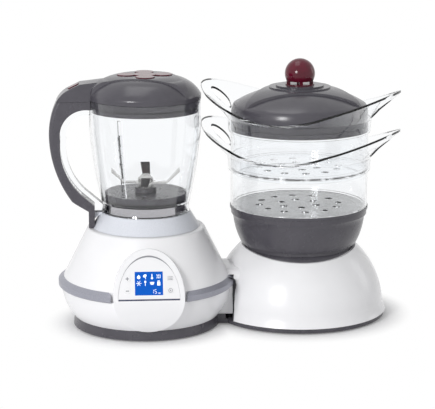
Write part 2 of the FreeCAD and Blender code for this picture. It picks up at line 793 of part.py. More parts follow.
def console_housing():
    """White tongue on the front: a sloping arch for the face above, a bulged shield below."""
    foot_y = LOWER_R + TONGUE_PROUD
    rise = Z_LIP - Z_TRAY
    out = CONSOLE_REACH - foot_y
    radius = (rise ** 2 + out ** 2) / (2 * out)
    centre_r = CONSOLE_REACH - radius
    half_way = math.asin(rise / radius) / 2
    belly = (-(centre_r + radius * math.cos(half_way)), Z_LIP - radius * math.sin(half_way))
    peak = Z_DECK + CONSOLE_PROUD
    side = [(-foot_y, Z_TRAY), (belly, (-CONSOLE_REACH, Z_LIP)),
            (-CONSOLE_REACH + (peak - Z_LIP) * CONE_SLOPE, peak), (0, peak), (0, Z_TRAY)]
    profile = slab(side, 4 * CONSOLE_HALF_W)
    profile.rotate(V(0, 0, 0), UP, 90)
    body = console_outline().common(profile).cut(blender_envelope())
    pocket = face_arch(FACE_HALF_W + FACE_GAP, FACE_H + FACE_GAP, FACE_BACK, 2 * WALL)
    slot = Part.makeBox(2 * FACE_HALF_W, SLOT_H + FACE_GAP, 2 * WALL - FACE_BACK,
                        V(-FACE_HALF_W, FACE_FROM_LIP - SLOT_H, FACE_BACK))
    return body.cut(on_face(pocket)).cut(on_face(slot)).cut(board_window())


def key_shape(grow, low, high):
    """Pill-shaped prism of one key between two depths."""
    pill = rounded_box(KEY_W + 2 * grow, KEY_H + 2 * grow, high - low, KEY_H / 2 + grow - FIT_GAP / 3)
    return moved(pill, V(0, 0, low))


def console_face():
    """Flat white plate with a window for the display, four key holes and pegs for the board."""
    plate = face_arch(FACE_HALF_W, FACE_H, FACE_BACK, FACE_FRONT)
    lcd = Part.makeBox(LCD_W, LCD_H, FACE_T, V(-LCD_W / 2, -LCD_H / 2, FACE_BACK))
    plate = plate.cut(moved(lcd, LCD_MIDDLE))
    for x, y in key_spots().values():
        plate = plate.cut(moved(key_shape(FIT_GAP, FACE_BACK, FACE_FRONT), V(x, y, 0)))
    peg = tube(PEG_R, BOARD_FRONT, FACE_BACK)
    pegs = []
    for y in (BOARD_H / 2 - PEG_R, PEG_R - BOARD_H / 2):
        pegs.append(moved(peg, LCD_MIDDLE + V(0, y, 0)))
    return on_face(fused([plate] + pegs))


def display_panel():
    """Blue display: its window is flush with the face and its module reaches back to the board."""
    edge = LCD_MODULE_EDGE
    window = Part.makeBox(LCD_W, LCD_H, FACE_T, V(-LCD_W / 2, -LCD_H / 2, FACE_BACK))
    module = Part.makeBox(LCD_W + edge, LCD_H + edge, FACE_BACK - BOARD_FRONT,
                          V(-(LCD_W + edge) / 2, -(LCD_H + edge) / 2, BOARD_FRONT))
    return on_face(moved(fused([window, module]), LCD_MIDDLE))


def control_board():
    """Circuit board behind the face."""
    board = rounded_box(BOARD_W, BOARD_H, BOARD_T, BOARD_ROUND)
    return on_face(moved(board, LCD_MIDDLE + V(0, 0, BOARD_BACK)))


def key_switches():
    """Four switches on the board, one behind each key."""
    switch = Part.makeBox(SWITCH_W, SWITCH_W, SWITCH_T, V(-SWITCH_W / 2, -SWITCH_W / 2, BOARD_FRONT))
    return on_face(Part.makeCompound([moved(switch, V(x, y, 0)) for x, y in key_spots().values()]))


def key_cap(name):
    """One key: a pill through the face, with a flange that keeps it in."""
    x, y = key_spots()[name]
    pill = key_shape(0, KEY_BACK + KEY_FLANGE, FACE_FRONT + KEY_PROUD)
    flange = key_shape(KEY_FLANGE, KEY_BACK, KEY_BACK + KEY_FLANGE)
    return on_face(moved(fused([pill, flange]), V(x, y, 0)))


# Motor and drive

Z_BRACKET = Z_DECK - MOTOR_TOP_DROP


def motor_bracket():
    """Steel plate that hangs the motor from the deck's posts."""
    return tube(BRACKET_R, Z_BRACKET, Z_BRACKET + BRACKET_T, SHAFT_R + FIT_GAP)


def motor_body():
    """Motor can, bored for its shaft."""
    return tube(MOTOR_R, Z_BRACKET - MOTOR_H, Z_BRACKET, SHAFT_R + SHAFT_RUN)


def motor_shaft():
    """Shaft through the motor, from the fan up to the drive dog."""
    return tube(SHAFT_R, Z_BRACKET - MOTOR_H - SHAFT_TAIL, Z_DECK + LIFT_GAP + DOG_H / 2)


def cooling_fan():
    """Fan under the motor."""
    top = Z_BRACKET - MOTOR_H - FIT_GAP * 4
    hub = tube(FAN_HUB_R, top - FAN_H, top)
    vane = Part.makeBox(FAN_R - FAN_HUB_R + WALL, FAN_BLADE_T, FAN_H,
                        V(FAN_HUB_R - WALL, -FAN_BLADE_T / 2, top - FAN_H))
    vanes = at_turns(vane, [360.0 * k / FAN_BLADES for k in range(FAN_BLADES)])
    return fused([hub] + vanes).cut(tube(SHAFT_R, top - FAN_H, top))


def dog_star(grow, low, high):
    """Toothed star of the drive dog, as a prism."""
    corners = []
    for k in range(2 * DOG_TEETH):
        radius = (DOG_ROOT_R if k % 2 else DOG_R) + grow
        turn = math.pi * k / DOG_TEETH
        corners.append(V(radius * math.cos(turn), radius * math.sin(turn), low))
    return Part.Face(Part.makePolygon(corners + [corners[0]])).extrude(V(0, 0, high - low))


def drive_dog():
    """Star on the motor shaft that turns the jug's blade unit."""
    low = Z_DECK + LIFT_GAP
    star = dog_star(0, low, low + DOG_H)
    return star.cut(tube(SHAFT_R, low, low + DOG_H / 2))


def lid_switch():
    """Safety switch under the deck, below the pin in the jug's handle."""
    top = Z_DECK - PIN_BELOW_DECK - PIN_TRAVEL - FIT_GAP
    body = Part.makeBox(2 * SWITCH_W, SWITCH_W, SWITCH_W,
                        V(-PIN_OUT - FIT_GAP, -SWITCH_W / 2, top - SWITCH_W))
    stalk = Part.makeBox(SWITCH_W, SWITCH_W, Z_DECK - WALL - top,
                         V(2 * SWITCH_T - PIN_OUT, -SWITCH_W / 2, top))
    return fused([body, stalk])


# Jug

Z_LEDGE = Z_WAIST + LEDGE_RISE
Z_SEAL = Z_LEDGE + LEDGE_T
Z_SEAT = Z_SEAL + SEAL_T
Z_SEAT_TOP = Z_SEAT + SEAT_T
Z_STEM_LOW = Z_LEDGE - NUT_H
Z_DOG_TOP = Z_DECK + LIFT_GAP + DOG_H
Z_HUB = Z_SEAT_TOP + SEAT_HUB_H
TAIL_IN = TAIL_R - TAIL_T
Z_TAIL = Z_DECK + LIFT_GAP + FIT_GAP


def grip_inner_path():
    """Inside of the grip, from the jug's rim round to its tail: the clear rib follows it."""
    inner = HANDLE_REACH - GRIP_T
    top = Z_HANDLE - GRIP_ARM_T
    rim = (CUP_R - JUG_WALL / 2, top)
    bend = (inner, Z_HANDLE - HANDLE_BEND_DROP - GRIP_T / 2)
    foot = (inner - GRIP_FOOT_IN, Z_HANDLE - HANDLE_FOOT_DROP + GRIP_FOOT_UP)
    return [rim, bulge(rim, bend, -GRIP_KNEE), bulge(bend, foot, -GRIP_BELLY), (TAIL_IN, Z_WAIST - FIT_GAP)]


def jug_body():
    """Clear jug: skirt, waist, cup, three inner ribs, blade ledge and the handle's clear rib."""
    hollow = filled(inset(cup_path(), JUG_WALL))
    hollow = hollow.fuse(tube(SKIRT_R - JUG_WALL, Z_JUG - WALL, Z_JUG + FIT_GAP))
    wall = walled(cup_path(), JUG_WALL).cut(tube(2 * SKIRT_R, Z_JUG - 2 * WALL, Z_JUG))
    ledge = tube(WAIST_R - JUG_WALL / 2, Z_LEDGE, Z_SEAL, LEDGE_R)
    thick = walled(cup_path(), JUG_WALL + RIB_DEPTH)
    low, high = Z_SEAT_TOP + RIB_LOW, Z_RIM - RIB_TOP_DROP
    strip = Part.makeBox(CUP_R, RIB_W, high - low, V(0, -RIB_W / 2, low))
    ribs = [thick.common(one) for one in at_turns(strip, RIB_TURNS)]
    path = grip_inner_path()
    inner = inset(path, -CLEAR_RIB_T)
    in_wall = WAIST_R - JUG_WALL / 2
    web = [(TAIL_IN, Z_WAIST - RIB_FOOT_DROP), (in_wall, Z_WAIST - SKIRT_H / 3), (in_wall, Z_WAIST)]
    clear_rib = slab(path + web + backwards(inner), CLEAR_RIB_W)
    clear_rib.rotate(V(0, 0, 0), UP, 180)
    return fused([wall, ledge] + ribs + [clear_rib.cut(hollow)])


def handle_grip():
    """Dark grip over the clear rib, with the arm under the lid's tongue and the tail over the pin."""
    outline = handle_path() + [(TAIL_R, Z_TAIL), (TAIL_IN, Z_TAIL)]
    outline += backwards(grip_inner_path()) + [(CUP_R - JUG_WALL / 2, Z_HANDLE)]
    grip = slab(outline, GRIP_W)
    far = [edge for edge in grip.Edges if edge.BoundBox.XMax > HANDLE_REACH - GRIP_T / 2]
    outer = [edge for edge in far if edge.BoundBox.YLength < FIT_GAP and edge.BoundBox.ZLength > GRIP_T]
    grip = grip.makeFillet(GRIP_ROUND, outer)
    hole = moved(tube(PIN_R + PIN_GAP, Z_TAIL, Z_TAIL + PIN_H), V(PIN_OUT, 0, 0))
    grip = grip.cut(hole).cut(filled(cup_path()))
    grip.rotate(V(0, 0, 0), UP, 180)
    slot = Part.makeBox(TAIL_IN, CLEAR_RIB_W, Z_WAIST - Z_JUG, V(-TAIL_IN, -CLEAR_RIB_W / 2, Z_JUG))
    return grip.cut(slot)


def interlock_pin():
    """Pin in the handle's tail that the closed lid pushes down on the safety switch."""
    low = Z_DECK - PIN_BELOW_DECK
    return moved(tube(PIN_R, low, low + PIN_H), V(-PIN_OUT, 0, 0))


def blade_seat():
    """Dark floor of the jug, with a hub for the bush and a stem for the nut."""
    floor_r = WAIST_R - JUG_WALL - FIT_GAP
    floor = tube(floor_r, Z_SEAT, Z_SEAT_TOP, BUSH_R)
    hub = tube(SEAT_HUB_R, Z_SEAT - BUSH_BELOW, Z_HUB, BUSH_R)
    stem = tube(STEM_R, Z_STEM_LOW, Z_SEAT, STEM_BORE_R)
    return fused([floor, hub, stem]).common(filled(inset(cup_path(), JUG_WALL + FIT_GAP)))


def blade_seal():
    """Rubber ring between the jug's ledge and its floor."""
    return tube(SEAL_R, Z_SEAL, Z_SEAT, LEDGE_R)


def blade_nut():
    """Steel ring that clamps the floor to the ledge from below."""
    return tube(NUT_R, Z_STEM_LOW, Z_LEDGE, STEM_R)


def blade_bush():
    """Bush that carries the blade shaft."""
    return tube(BUSH_R, Z_SEAT - BUSH_BELOW, Z_HUB, SHAFT_R + SHAFT_RUN)


def blade_shaft():
    """Shaft from the socket under the jug up through the blades."""
    low = Z_DOG_TOP + DOG_CLEAR + SOCKET_ROOF / 2
    return tube(SHAFT_R, low, Z_HUB + FIT_GAP + BLADE_HUB_H + BLADE_T)


def blade_hub():
    """Hub that clamps the blades on the shaft."""
    low = Z_HUB + FIT_GAP
    return tube(BLADE_HUB_R, low, low + BLADE_HUB_H / 2, SHAFT_R)


def blades():
    """Two crossed blades whose tips turn up."""
    low = Z_HUB + FIT_GAP + BLADE_HUB_H / 2
    flat = BLADE_FLAT
    tip_low, tip_top = low + BLADE_RISE, low + BLADE_RISE + 2 * BLADE_T
    side = [(-flat, low), (flat, low), (BLADE_R, tip_low), (BLADE_R, tip_top), (flat, low + BLADE_T),
            (-flat, low + BLADE_T), (-BLADE_R, tip_top), (-BLADE_R, tip_low)]
    bar = slab(side, BLADE_W)
    corner = Part.makeBox(BLADE_R, BLADE_W, Z_RIM, V(SEAT_HUB_R, 0, 0))
    corner.rotate(V(SEAT_HUB_R, 0, 0), UP, BLADE_TAPER)
    bar = bar.cut(corner).cut(around(corner, 180))
    return fused([bar, around(bar, 90)]).cut(tube(SHAFT_R, low, low + BLADE_T))


def blade_cap_nut():
    """Domed nut that holds the blades down."""
    low = Z_HUB + FIT_GAP + BLADE_HUB_H / 2 + BLADE_T
    high = Z_HUB + FIT_GAP + BLADE_HUB_H + BLADE_T
    crown = filled([(BLADE_HUB_R, low), (BLADE_HUB_R, high), (SHAFT_R, high + SHAFT_R)])
    return crown.cut(tube(SHAFT_R, low, high))


def jug_socket():
    """Cup under the jug with a star-shaped recess that drops over the drive dog."""
    low = Z_DECK + 4 * LIFT_GAP
    top = Z_DOG_TOP + DOG_CLEAR
    cup = tube(SOCKET_R, low, top + SOCKET_ROOF)
    cup = cup.cut(dog_star(DOG_CLEAR, low, top))
    return cup.cut(tube(SHAFT_R, top + SOCKET_ROOF / 2, top + SOCKET_ROOF))


# Blender lid

def scoop(line, out, turn):
    """Space outside a leaning cone and in front of an upright plane: it cuts a lens out of a dome."""
    top, foot = end_of(line[0]), end_of(line[-1])
    far, high = 2 * foot[0], top[1] + out
    ring = turned(line + [(far, foot[1]), (far, high), (top[0], high)])
    front = Part.makeBox(2 * far, far, high - foot[1], V(-far, -far - out, foot[1]))
    return around(ring.common(front), turn)


def lid_path():
    """Outside of the blender lid's dome, from its lip up to its flat top."""
    lip, top = (LID_R, Z_LID + LID_LIP_H), (LID_TOP_R, Z_LID_TOP)
    shoulder = (LID_SHOULDER_R, Z_LID_TOP - LID_SHOULDER_DROP)
    return [(LID_R, Z_LID), lip, bulge(lip, shoulder, LID_BULGE), bulge(shoulder, top, LID_CROWN)]


def lid_dome(depth):
    """Dome of the blender lid with its three scoops, shrunk inwards by a depth."""
    dome = filled(inset(lid_path(), depth) if depth else lid_path())
    top = (LID_SCOOP_TOP_R, Z_LID_TOP - LID_SCOOP_TOP_DROP)
    line = inset([top, bulge(top, (LID_SCOOP_FOOT_R, Z_LID + LID_SCOOP_FOOT_UP), -LID_SCOOP_SWELL)], -depth)
    for turn in LID_SCOOP_TURNS:
        dome = dome.cut(scoop(line, LID_SCOOP_OUT - depth, turn))
    return dome


def tongue_path():
    """Side outline of the lid's tongue, which lies over the top of the handle."""
    low = Z_HANDLE + LIFT_GAP
    tip = (HANDLE_REACH - HANDLE_TOP_IN, low)
    knee = (TONGUE_KNEE_R, low + TONGUE_KNEE_UP)
    brow = (TONGUE_BROW_R, low + TONGUE_BROW_UP)
    root_top = (TONGUE_ROOT_R, low + TONGUE_ROOT_UP)
    return [(TONGUE_ROOT_R, low), tip, bulge(tip, knee, TONGUE_ROUND), brow, root_top]


TONGUE_KNEE_R = HANDLE_REACH - TONGUE_KNEE_IN
TONGUE_BROW_R = HANDLE_REACH - TONGUE_BROW_IN
TONGUE_SLOPE = (TONGUE_BROW_UP - TONGUE_KNEE_UP) / (TONGUE_KNEE_R - TONGUE_BROW_R)
TONGUE_TILT = math.degrees(math.atan(TONGUE_SLOPE))
Z_BUTTON = Z_HANDLE + LIFT_GAP + TONGUE_KNEE_UP + (TONGUE_KNEE_R - BUTTON_OUT) * TONGUE_SLOPE


def on_tongue(shape):
    """Puts a shape drawn flat at the origin on the sloping top of the tongue."""
    placed = shape.copy()
    placed.rotate(V(0, 0, 0), V(0, 1, 0), TONGUE_TILT)
    placed.translate(V(BUTTON_OUT, 0, Z_BUTTON))
    placed.rotate(V(0, 0, 0), UP, 180)
    return placed


def cap_flower(grow, low, high):
    """Four round petals about a disc, as a prism."""
    petal = moved(tube(CAP_PETAL_R + grow, low, high), V(CAP_PETAL_OUT, 0, 0))
    return fused([tube(CAP_DISC_R + grow, low, high)] + at_turns(petal, QUARTERS))


def blender_lid():
    """Dark domed lid: skirt in the jug, lip on its rim, tongue over the handle, seat for the cap."""
    dome = lid_dome(0)
    tongue = slab(tongue_path(), TONGUE_W)
    tongue = tongue.cut(tube(LID_R + FIT_GAP / 3, 0, Z_LID))
    tongue.rotate(V(0, 0, 0), UP, 180)
    skirt_r = CUP_R - JUG_WALL - LID_SKIRT_GAP
    skirt = tube(skirt_r, Z_LID - LID_SKIRT, Z_LID + WALL, skirt_r - WALL)
    hollow = lid_dome(WALL).fuse(tube(skirt_r - WALL, Z_LID - LID_SKIRT, Z_LID + WALL))
    lip = tube(LID_R, Z_LID, Z_LID + WALL, skirt_r - WALL)
    lid = fused([fused([dome, tongue]).cut(hollow), lip, skirt])
    lid = lid.cut(cap_flower(CAP_GAP, Z_LID_TOP - CAP_INSET, Z_LID_TOP + CAP_INSET))
    lid = lid.cut(tube(CAP_STEM_R + CAP_GAP, Z_LID_TOP - 2 * CAP_STEM_H, Z_LID_TOP))
    pocket = rounded_box(BUTTON_L + 2 * FIT_GAP, BUTTON_W + 2 * FIT_GAP, 2 * BUTTON_DEEP, BUTTON_W / 3)
    lid = lid.cut(on_tongue(moved(pocket, V(0, 0, -BUTTON_DEEP - BUTTON_TRAVEL - FIT_GAP))))
    groove_z = Z_LID - LID_SKIRT + GASKET_UP
    return lid.cut(tube(skirt_r + FIT_GAP, groove_z, groove_z + GASKET_H, skirt_r - GASKET_T))


def lid_gasket():
    """Soft ring in the groove of the lid's skirt."""
    skirt_r = CUP_R - JUG_WALL - LID_SKIRT_GAP
    low = Z_LID - LID_SKIRT + GASKET_UP
    return tube(skirt_r, low, low + GASKET_H, skirt_r - GASKET_T)


def filler_cap():
    """Cherry cap in the lid's top: four petals and a hollow stem that closes the filler hole."""
    low = Z_LID_TOP - CAP_INSET + LIFT_GAP
    flower = cap_flower(0, low, Z_LID_TOP + CAP_PROUD)
    stem = tube(CAP_STEM_R, low - CAP_STEM_H, low, CAP_STEM_R - WALL)
    return fused([flower, stem])


def release_button():
    """Cherry push button on the lid's tongue."""
    button = rounded_box(BUTTON_L, BUTTON_W, BUTTON_DEEP + BUTTON_PROUD, BUTTON_W / 3)
    return on_tongue(moved(button, V(0, 0, -BUTTON_DEEP)))


# Steamer

def notch(grow=0.0):
    """Round clearance for the blender's waist, about the steamer's axis."""
    return moved(tube(BAND_R + BELL_NOTCH_GAP + grow, 0, Z_DECK), V(0, 0, 0) - TO_STEAMER)


def bell_inside():
    """Everything inside the steamer casing's inner wall."""
    return filled(inset(bell_path(), WALL)).cut(notch(WALL))


def neck_bridge():
    """White bridge between the two casings, drawn about the blender's axis."""
    box = Part.makeBox(AXIS_DX, NECK_FRONT + NECK_BACK, NECK_TOP - Z_TRAY, V(0, -NECK_FRONT, Z_TRAY))
    long = [edge for edge in box.Edges if edge.BoundBox.XLength > AXIS_DX / 2]
    ridge = [edge for edge in long if edge.BoundBox.ZMin > NECK_TOP - FIT_GAP]
    box = box.makeFillet(NECK_ROUND, ridge)
    blender_side = blender_envelope().fuse(tube(BAND_R, Z_BAND, Z_CONE))
    bell = filled(bell_path()).cut(notch())
    trimmed = box.cut(blender_side).cut(moved(bell, TO_STEAMER))
    middle = Part.makeBox(AXIS_DX / 2, 4 * NECK_BACK, NECK_TOP, V(AXIS_DX / 4, -2 * NECK_BACK, 0))
    return max(trimmed.common(middle).Solids, key=lambda solid: solid.Volume)


def steamer_housing():
    """White bell casing: its upper edge dips at the front and back, and it is notched for the blender."""
    outside = filled(bell_path()).cut(notch())
    top_r = end_of(inset(bell_path(), WALL)[-1])[0]
    hollow = bell_inside().fuse(tube(top_r, Z_BELL - 2 * WALL, Z_BELL)).fuse(
        tube(BELL_FOOT_R - 2 * WALL, Z_PLATE - WALL, Z_PLATE + WALL).cut(notch(WALL)))
    shell = outside.cut(hollow)
    boss = moved(tube(BOSS_R, Z_PLATE, Z_PLATE + BOSS_RISE), V(0, PLATE_BOSS_OUT, 0))
    bosses = [one.common(outside) for one in at_turns(boss, BELL_SCREW_TURNS)]
    shell = fused([shell] + bosses)
    drill = moved(tube(SCREW_R, Z_PLATE, Z_PLATE + SCREW_BITE), V(0, PLATE_BOSS_OUT, 0))
    for one in at_turns(drill, BELL_SCREW_TURNS):
        shell = shell.cut(one)
    radius = BELL_TOP_R ** 2 / (2 * SCOOP_DEEP)
    front = V(0, -2 * BELL_FOOT_R, Z_BELL - SCOOP_DEEP + radius)
    return shell.cut(Part.makeCylinder(radius, 4 * BELL_FOOT_R, front, V(0, 1, 0)))


def water_tank():
    """Dark tank that fills the top of the bell, with a round seat for the bowl and a heater window."""
    above = tube(BELL_FOOT_R, Z_TANK_LOW, Z_DECK)
    body = fused([bell_inside().common(above), tube(TANK_R, Z_TANK_LOW, Z_TANK)])
    body = body.cut(tube(TANK_R - TANK_WALL, Z_TANK_FLOOR, Z_TANK))
    return body.cut(tube(HEATER_WINDOW_R, Z_TANK_LOW, Z_TANK_FLOOR))


def heating_plate():
    """Steel plate under the tank's window."""
    return tube(HEATER_R, Z_TANK_LOW - HEATER_T, Z_TANK_LOW)


def heating_element():
    """Ring-shaped element brazed under the plate."""
    return Part.makeTorus(ELEMENT_R, ELEMENT_TUBE_R, V(0, 0, Z_TANK_LOW - HEATER_T - ELEMENT_TUBE_R))


def thermostat():
    """Round thermostat against the middle of the heating plate."""
    top = Z_TANK_LOW - HEATER_T
    return tube(THERMOSTAT_R, top - THERMOSTAT_H, top)


def bowl():
    """Dark bowl that catches juice, with a steam chimney in the middle and a broad rim."""
    spigot_r = TANK_R - TANK_WALL - BOWL_SPIGOT_GAP
    side_z = Z_BOWL_TOP - BOWL_RIM_H - BOWL_RIM_STEP
    foot, side = (BOWL_FOOT_R, Z_BOWL), (BOWL_SIDE_R, side_z)
    under_r = BOWL_RIM_R - BOWL_LIP_OUT
    path = [(spigot_r, Z_BOWL - BOWL_SPIGOT_H), (spigot_r, Z_BOWL), foot, bulge(foot, side, BOWL_SWELL),
            (under_r, Z_BOWL_TOP - BOWL_RIM_H), (under_r, Z_BOWL_TOP - BOWL_LIP_H - BOWL_LIP_OUT / 2),
            (BOWL_RIM_R, Z_BOWL_TOP - BOWL_LIP_H), (BOWL_RIM_R, Z_BOWL_TOP)]
    wall = walled(path, BOWL_WALL)
    low = Z_BOWL - BOWL_SPIGOT_H
    floor = tube(spigot_r, low, low + BOWL_WALL, CHIMNEY_R - BOWL_WALL)
    chimney = tube(CHIMNEY_R, low, low + CHIMNEY_H, CHIMNEY_R - BOWL_WALL)
    lip = tube(BOWL_RIM_R, Z_BOWL_TOP - BOWL_WALL, Z_BOWL_TOP, BASKET_R - BASKET_SPIGOT_IN + FIT_GAP)
    seat = tube(BASKET_R - BASKET_SPIGOT_IN + FIT_GAP, Z_BASKET - LIFT_GAP, Z_BOWL_TOP)
    return fused([wall, floor, chimney, lip]).cut(seat)


def basket():
    """Clear basket, drawn from z = 0: a spigot below, a ledge above and two ears with finger holes."""
    spigot_r = BASKET_R - BASKET_SPIGOT_IN
    collar_low = BASKET_LEDGE - BASKET_WALL
    collar_top = collar_low + BASKET_COLLAR_H
    collar_r = BASKET_R + BASKET_STEP
    bend = (EAR_RIM_R + EAR_BEND_OUT, collar_top + EAR_BEND_H)
    tip = (bend[0] + (EAR_TIP_R - bend[0]) * EAR_OVERRUN, bend[1] + EAR_RISE * EAR_OVERRUN)
    path = [(spigot_r, 0), (spigot_r, BASKET_SPIGOT_H), (BASKET_R, BASKET_SPIGOT_H), (BASKET_R, collar_low),
            (collar_r, collar_low), (EAR_RIM_R, collar_top), bend, tip]
    wall = walled(path, BASKET_WALL).common(ellipse_prism(EAR_TIP_R, EAR_RIM_R, 0, 2 * tip[1]))
    floor = tube(spigot_r, BASKET_SPIGOT_H - FLOOR_T, BASKET_SPIGOT_H)
    for radius, count in ((FLOOR_INNER_R, FLOOR_INNER_COUNT), (FLOOR_OUTER_R, FLOOR_OUTER_COUNT)):
        hole = moved(tube(FLOOR_HOLE_R, 0, BASKET_SPIGOT_H), V(radius, 0, 0))
        for drill in at_turns(hole, [360.0 * k / count for k in range(count)]):
            floor = floor.cut(drill)
    shell = fused([wall, floor])
    finger_hole = tube(EAR_HOLE_R, bend[1] - EAR_HOLE_LOW, 2 * tip[1])
    for side in (EAR_HOLE_OUT, -EAR_HOLE_OUT):
        shell = shell.cut(moved(finger_hole, V(side, 0, 0)))
    return around(shell, EAR_TURN)


def cover_path():
    """Outside of the steamer lid, from its skirt up to the flat seat of the top plate."""
    groove_low = Z_COVER + COVER_BEAD_UP
    groove_top = groove_low + COVER_BEAD_H
    side = (COVER_R, Z_COVER + COVER_SIDE_H)
    groove_r = COVER_R - COVER_BEAD_IN
    slant = COVER_BEAD_H / 4
    shoulder = (COVER_SHOULDER_R, Z_COVER + COVER_SHOULDER_UP)
    return [(COVER_R, Z_COVER), (COVER_R, groove_low), (groove_r, groove_low + slant),
            (groove_r, groove_top - slant), (COVER_R, groove_top), side,
            bulge(side, shoulder, COVER_ROUND_OUT),
            bulge(shoulder, (COVER_TOP_R, Z_TOP_PLATE), COVER_CROWN)]


def cover_dome(depth):
    """Dome of the steamer lid with its three scoops, shrunk inwards by a depth."""
    dome = filled(inset(cover_path(), depth) if depth else cover_path())
    top = (COVER_SCOOP_TOP_R, Z_TOP_PLATE - COVER_SCOOP_TOP_DROP)
    foot = (COVER_SCOOP_FOOT_R, Z_COVER + COVER_SCOOP_FOOT_UP)
    line = inset([top, bulge(top, foot, -COVER_SCOOP_SWELL)], -depth)
    for turn in SCOOP_TURNS:
        dome = dome.cut(scoop(line, COVER_SCOOP_OUT - depth, turn))
    return dome


def steamer_lid():
    """Dark domed lid that stands in the upper basket."""
    hollow = cover_dome(WALL).fuse(tube(COVER_R - WALL, Z_COVER - WALL, Z_COVER + WALL))
    return cover_dome(0).cut(hollow).cut(tube(KNOB_SCREW_R, Z_COVER, Z_KNOB))


def lid_top_plate():
    """Stepped disc on top of the lid that carries the knob."""
    low = tube(TOP_PLATE_R, Z_TOP_PLATE, Z_TOP_PLATE + TOP_PLATE_T, KNOB_SCREW_R)
    high = tube(TOP_PLATE_STEP_R, Z_TOP_PLATE + TOP_PLATE_T, Z_KNOB, KNOB_SCREW_R)
    return fused([low, high])


def lid_knob():
    """Cherry ball on a ring, four legs and a middle post."""
    ring_top = Z_KNOB + KNOB_RING_T
    cut_z = ring_top + KNOB_LEG_H
    centre = cut_z + KNOB_BALL_CUT
    ball = Part.makeSphere(KNOB_R, V(0, 0, centre))
    ball = ball.cut(tube(2 * KNOB_R, centre - 2 * KNOB_R, cut_z))
    cut_r = math.sqrt(KNOB_R ** 2 - KNOB_BALL_CUT ** 2)
    leg = Part.makeBox(KNOB_LEG_T, KNOB_LEG_W, KNOB_LEG_H + 2 * KNOB_ROOT,
                       V(cut_r - KNOB_LEG_T, -KNOB_LEG_W / 2, ring_top - KNOB_ROOT))
    ring = tube(KNOB_RING_R, Z_KNOB, ring_top)
    post = tube(KNOB_POST_R, ring_top, cut_z + KNOB_ROOT)
    knob = fused([ball, ring, post] + at_turns(leg, QUARTERS))
    return knob.cut(tube(KNOB_SCREW_R, Z_KNOB, cut_z))


def knob_screw():
    """Screw from inside the lid that holds the knob and the top plate."""
    under = Z_TOP_PLATE - WALL
    head = tube(KNOB_SCREW_HEAD_R, under - KNOB_SCREW_HEAD_H, under)
    return fused([head, tube(KNOB_SCREW_R, under, Z_KNOB + KNOB_RING_T + KNOB_LEG_H)])


# Every piece, by the unit it stands in

BLENDER_PIECES = {
    "base_plate": base_plate, "rubber_feet": rubber_feet, "case_screws": case_screws,
    "blender_lower_housing": blender_lower_housing, "blender_upper_housing": blender_upper_housing,
    "waist_band": waist_band, "cord_gland": cord_gland, "neck_bridge": neck_bridge,
    "console_housing": console_housing, "console_face": console_face, "display_panel": display_panel,
    "control_board": control_board, "key_switches": key_switches,
    "motor_bracket": motor_bracket, "motor_body": motor_body, "lid_switch": lid_switch,
    "motor_shaft": motor_shaft, "cooling_fan": cooling_fan, "drive_dog": drive_dog,
    "jug_body": jug_body, "handle_grip": handle_grip, "interlock_pin": interlock_pin,
    "blade_seat": blade_seat, "blade_seal": blade_seal, "blade_nut": blade_nut, "blade_bush": blade_bush,
    "blade_shaft": blade_shaft, "blade_hub": blade_hub, "blades": blades, "blade_cap_nut": blade_cap_nut,
    "jug_socket": jug_socket, "blender_lid": blender_lid, "lid_gasket": lid_gasket,
    "filler_cap": filler_cap, "release_button": release_button,
}
STEAMER_PIECES = {
    "steamer_housing": steamer_housing, "water_tank": water_tank, "heating_plate": heating_plate,
    "heating_element": heating_element, "thermostat": thermostat, "bowl": bowl,
    "steamer_lid": steamer_lid, "lid_top_plate": lid_top_plate, "lid_knob": lid_knob,
    "knob_screw": knob_screw,
}


def write(name, shape, place):
    """Moves a piece to its place, tests it and writes its file."""
    piece = moved(shape, place)
    if not piece.isValid():
        raise ValueError(name + " is not a valid shape")
    piece.exportStep("parts/" + name + ".step")
    print(name, len(piece.Solids), "solids", round(piece.Volume / 1000, 2), "cm3")


os.makedirs("parts", exist_ok=True)
for name, make in BLENDER_PIECES.items():
    write(name, make(), BLENDER)
for name in key_spots():
    write(name, key_cap(name), BLENDER)
for name, make in STEAMER_PIECES.items():
    write(name, make(), STEAMER)
write("lower_basket", basket(), STEAMER + V(0, 0, Z_BASKET))
write("upper_basket", basket(), STEAMER + V(0, 0, Z_BASKET_2))
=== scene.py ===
# %% [markdown]
# # Dressing a baby food maker
# The imported model already holds every piece at its real size: a jug blender on the left, a two-tier
# steamer on the right and one base under both. This lesson gives each piece its finish, adds the printed
# signs, thin trim and strips of painted shade that the solids leave out, and sets up a plain studio. Nothing
# is moved or resized.

# %% Load the frame
import json
import math

import bmesh
import bpy
from mathutils import Matrix, Vector


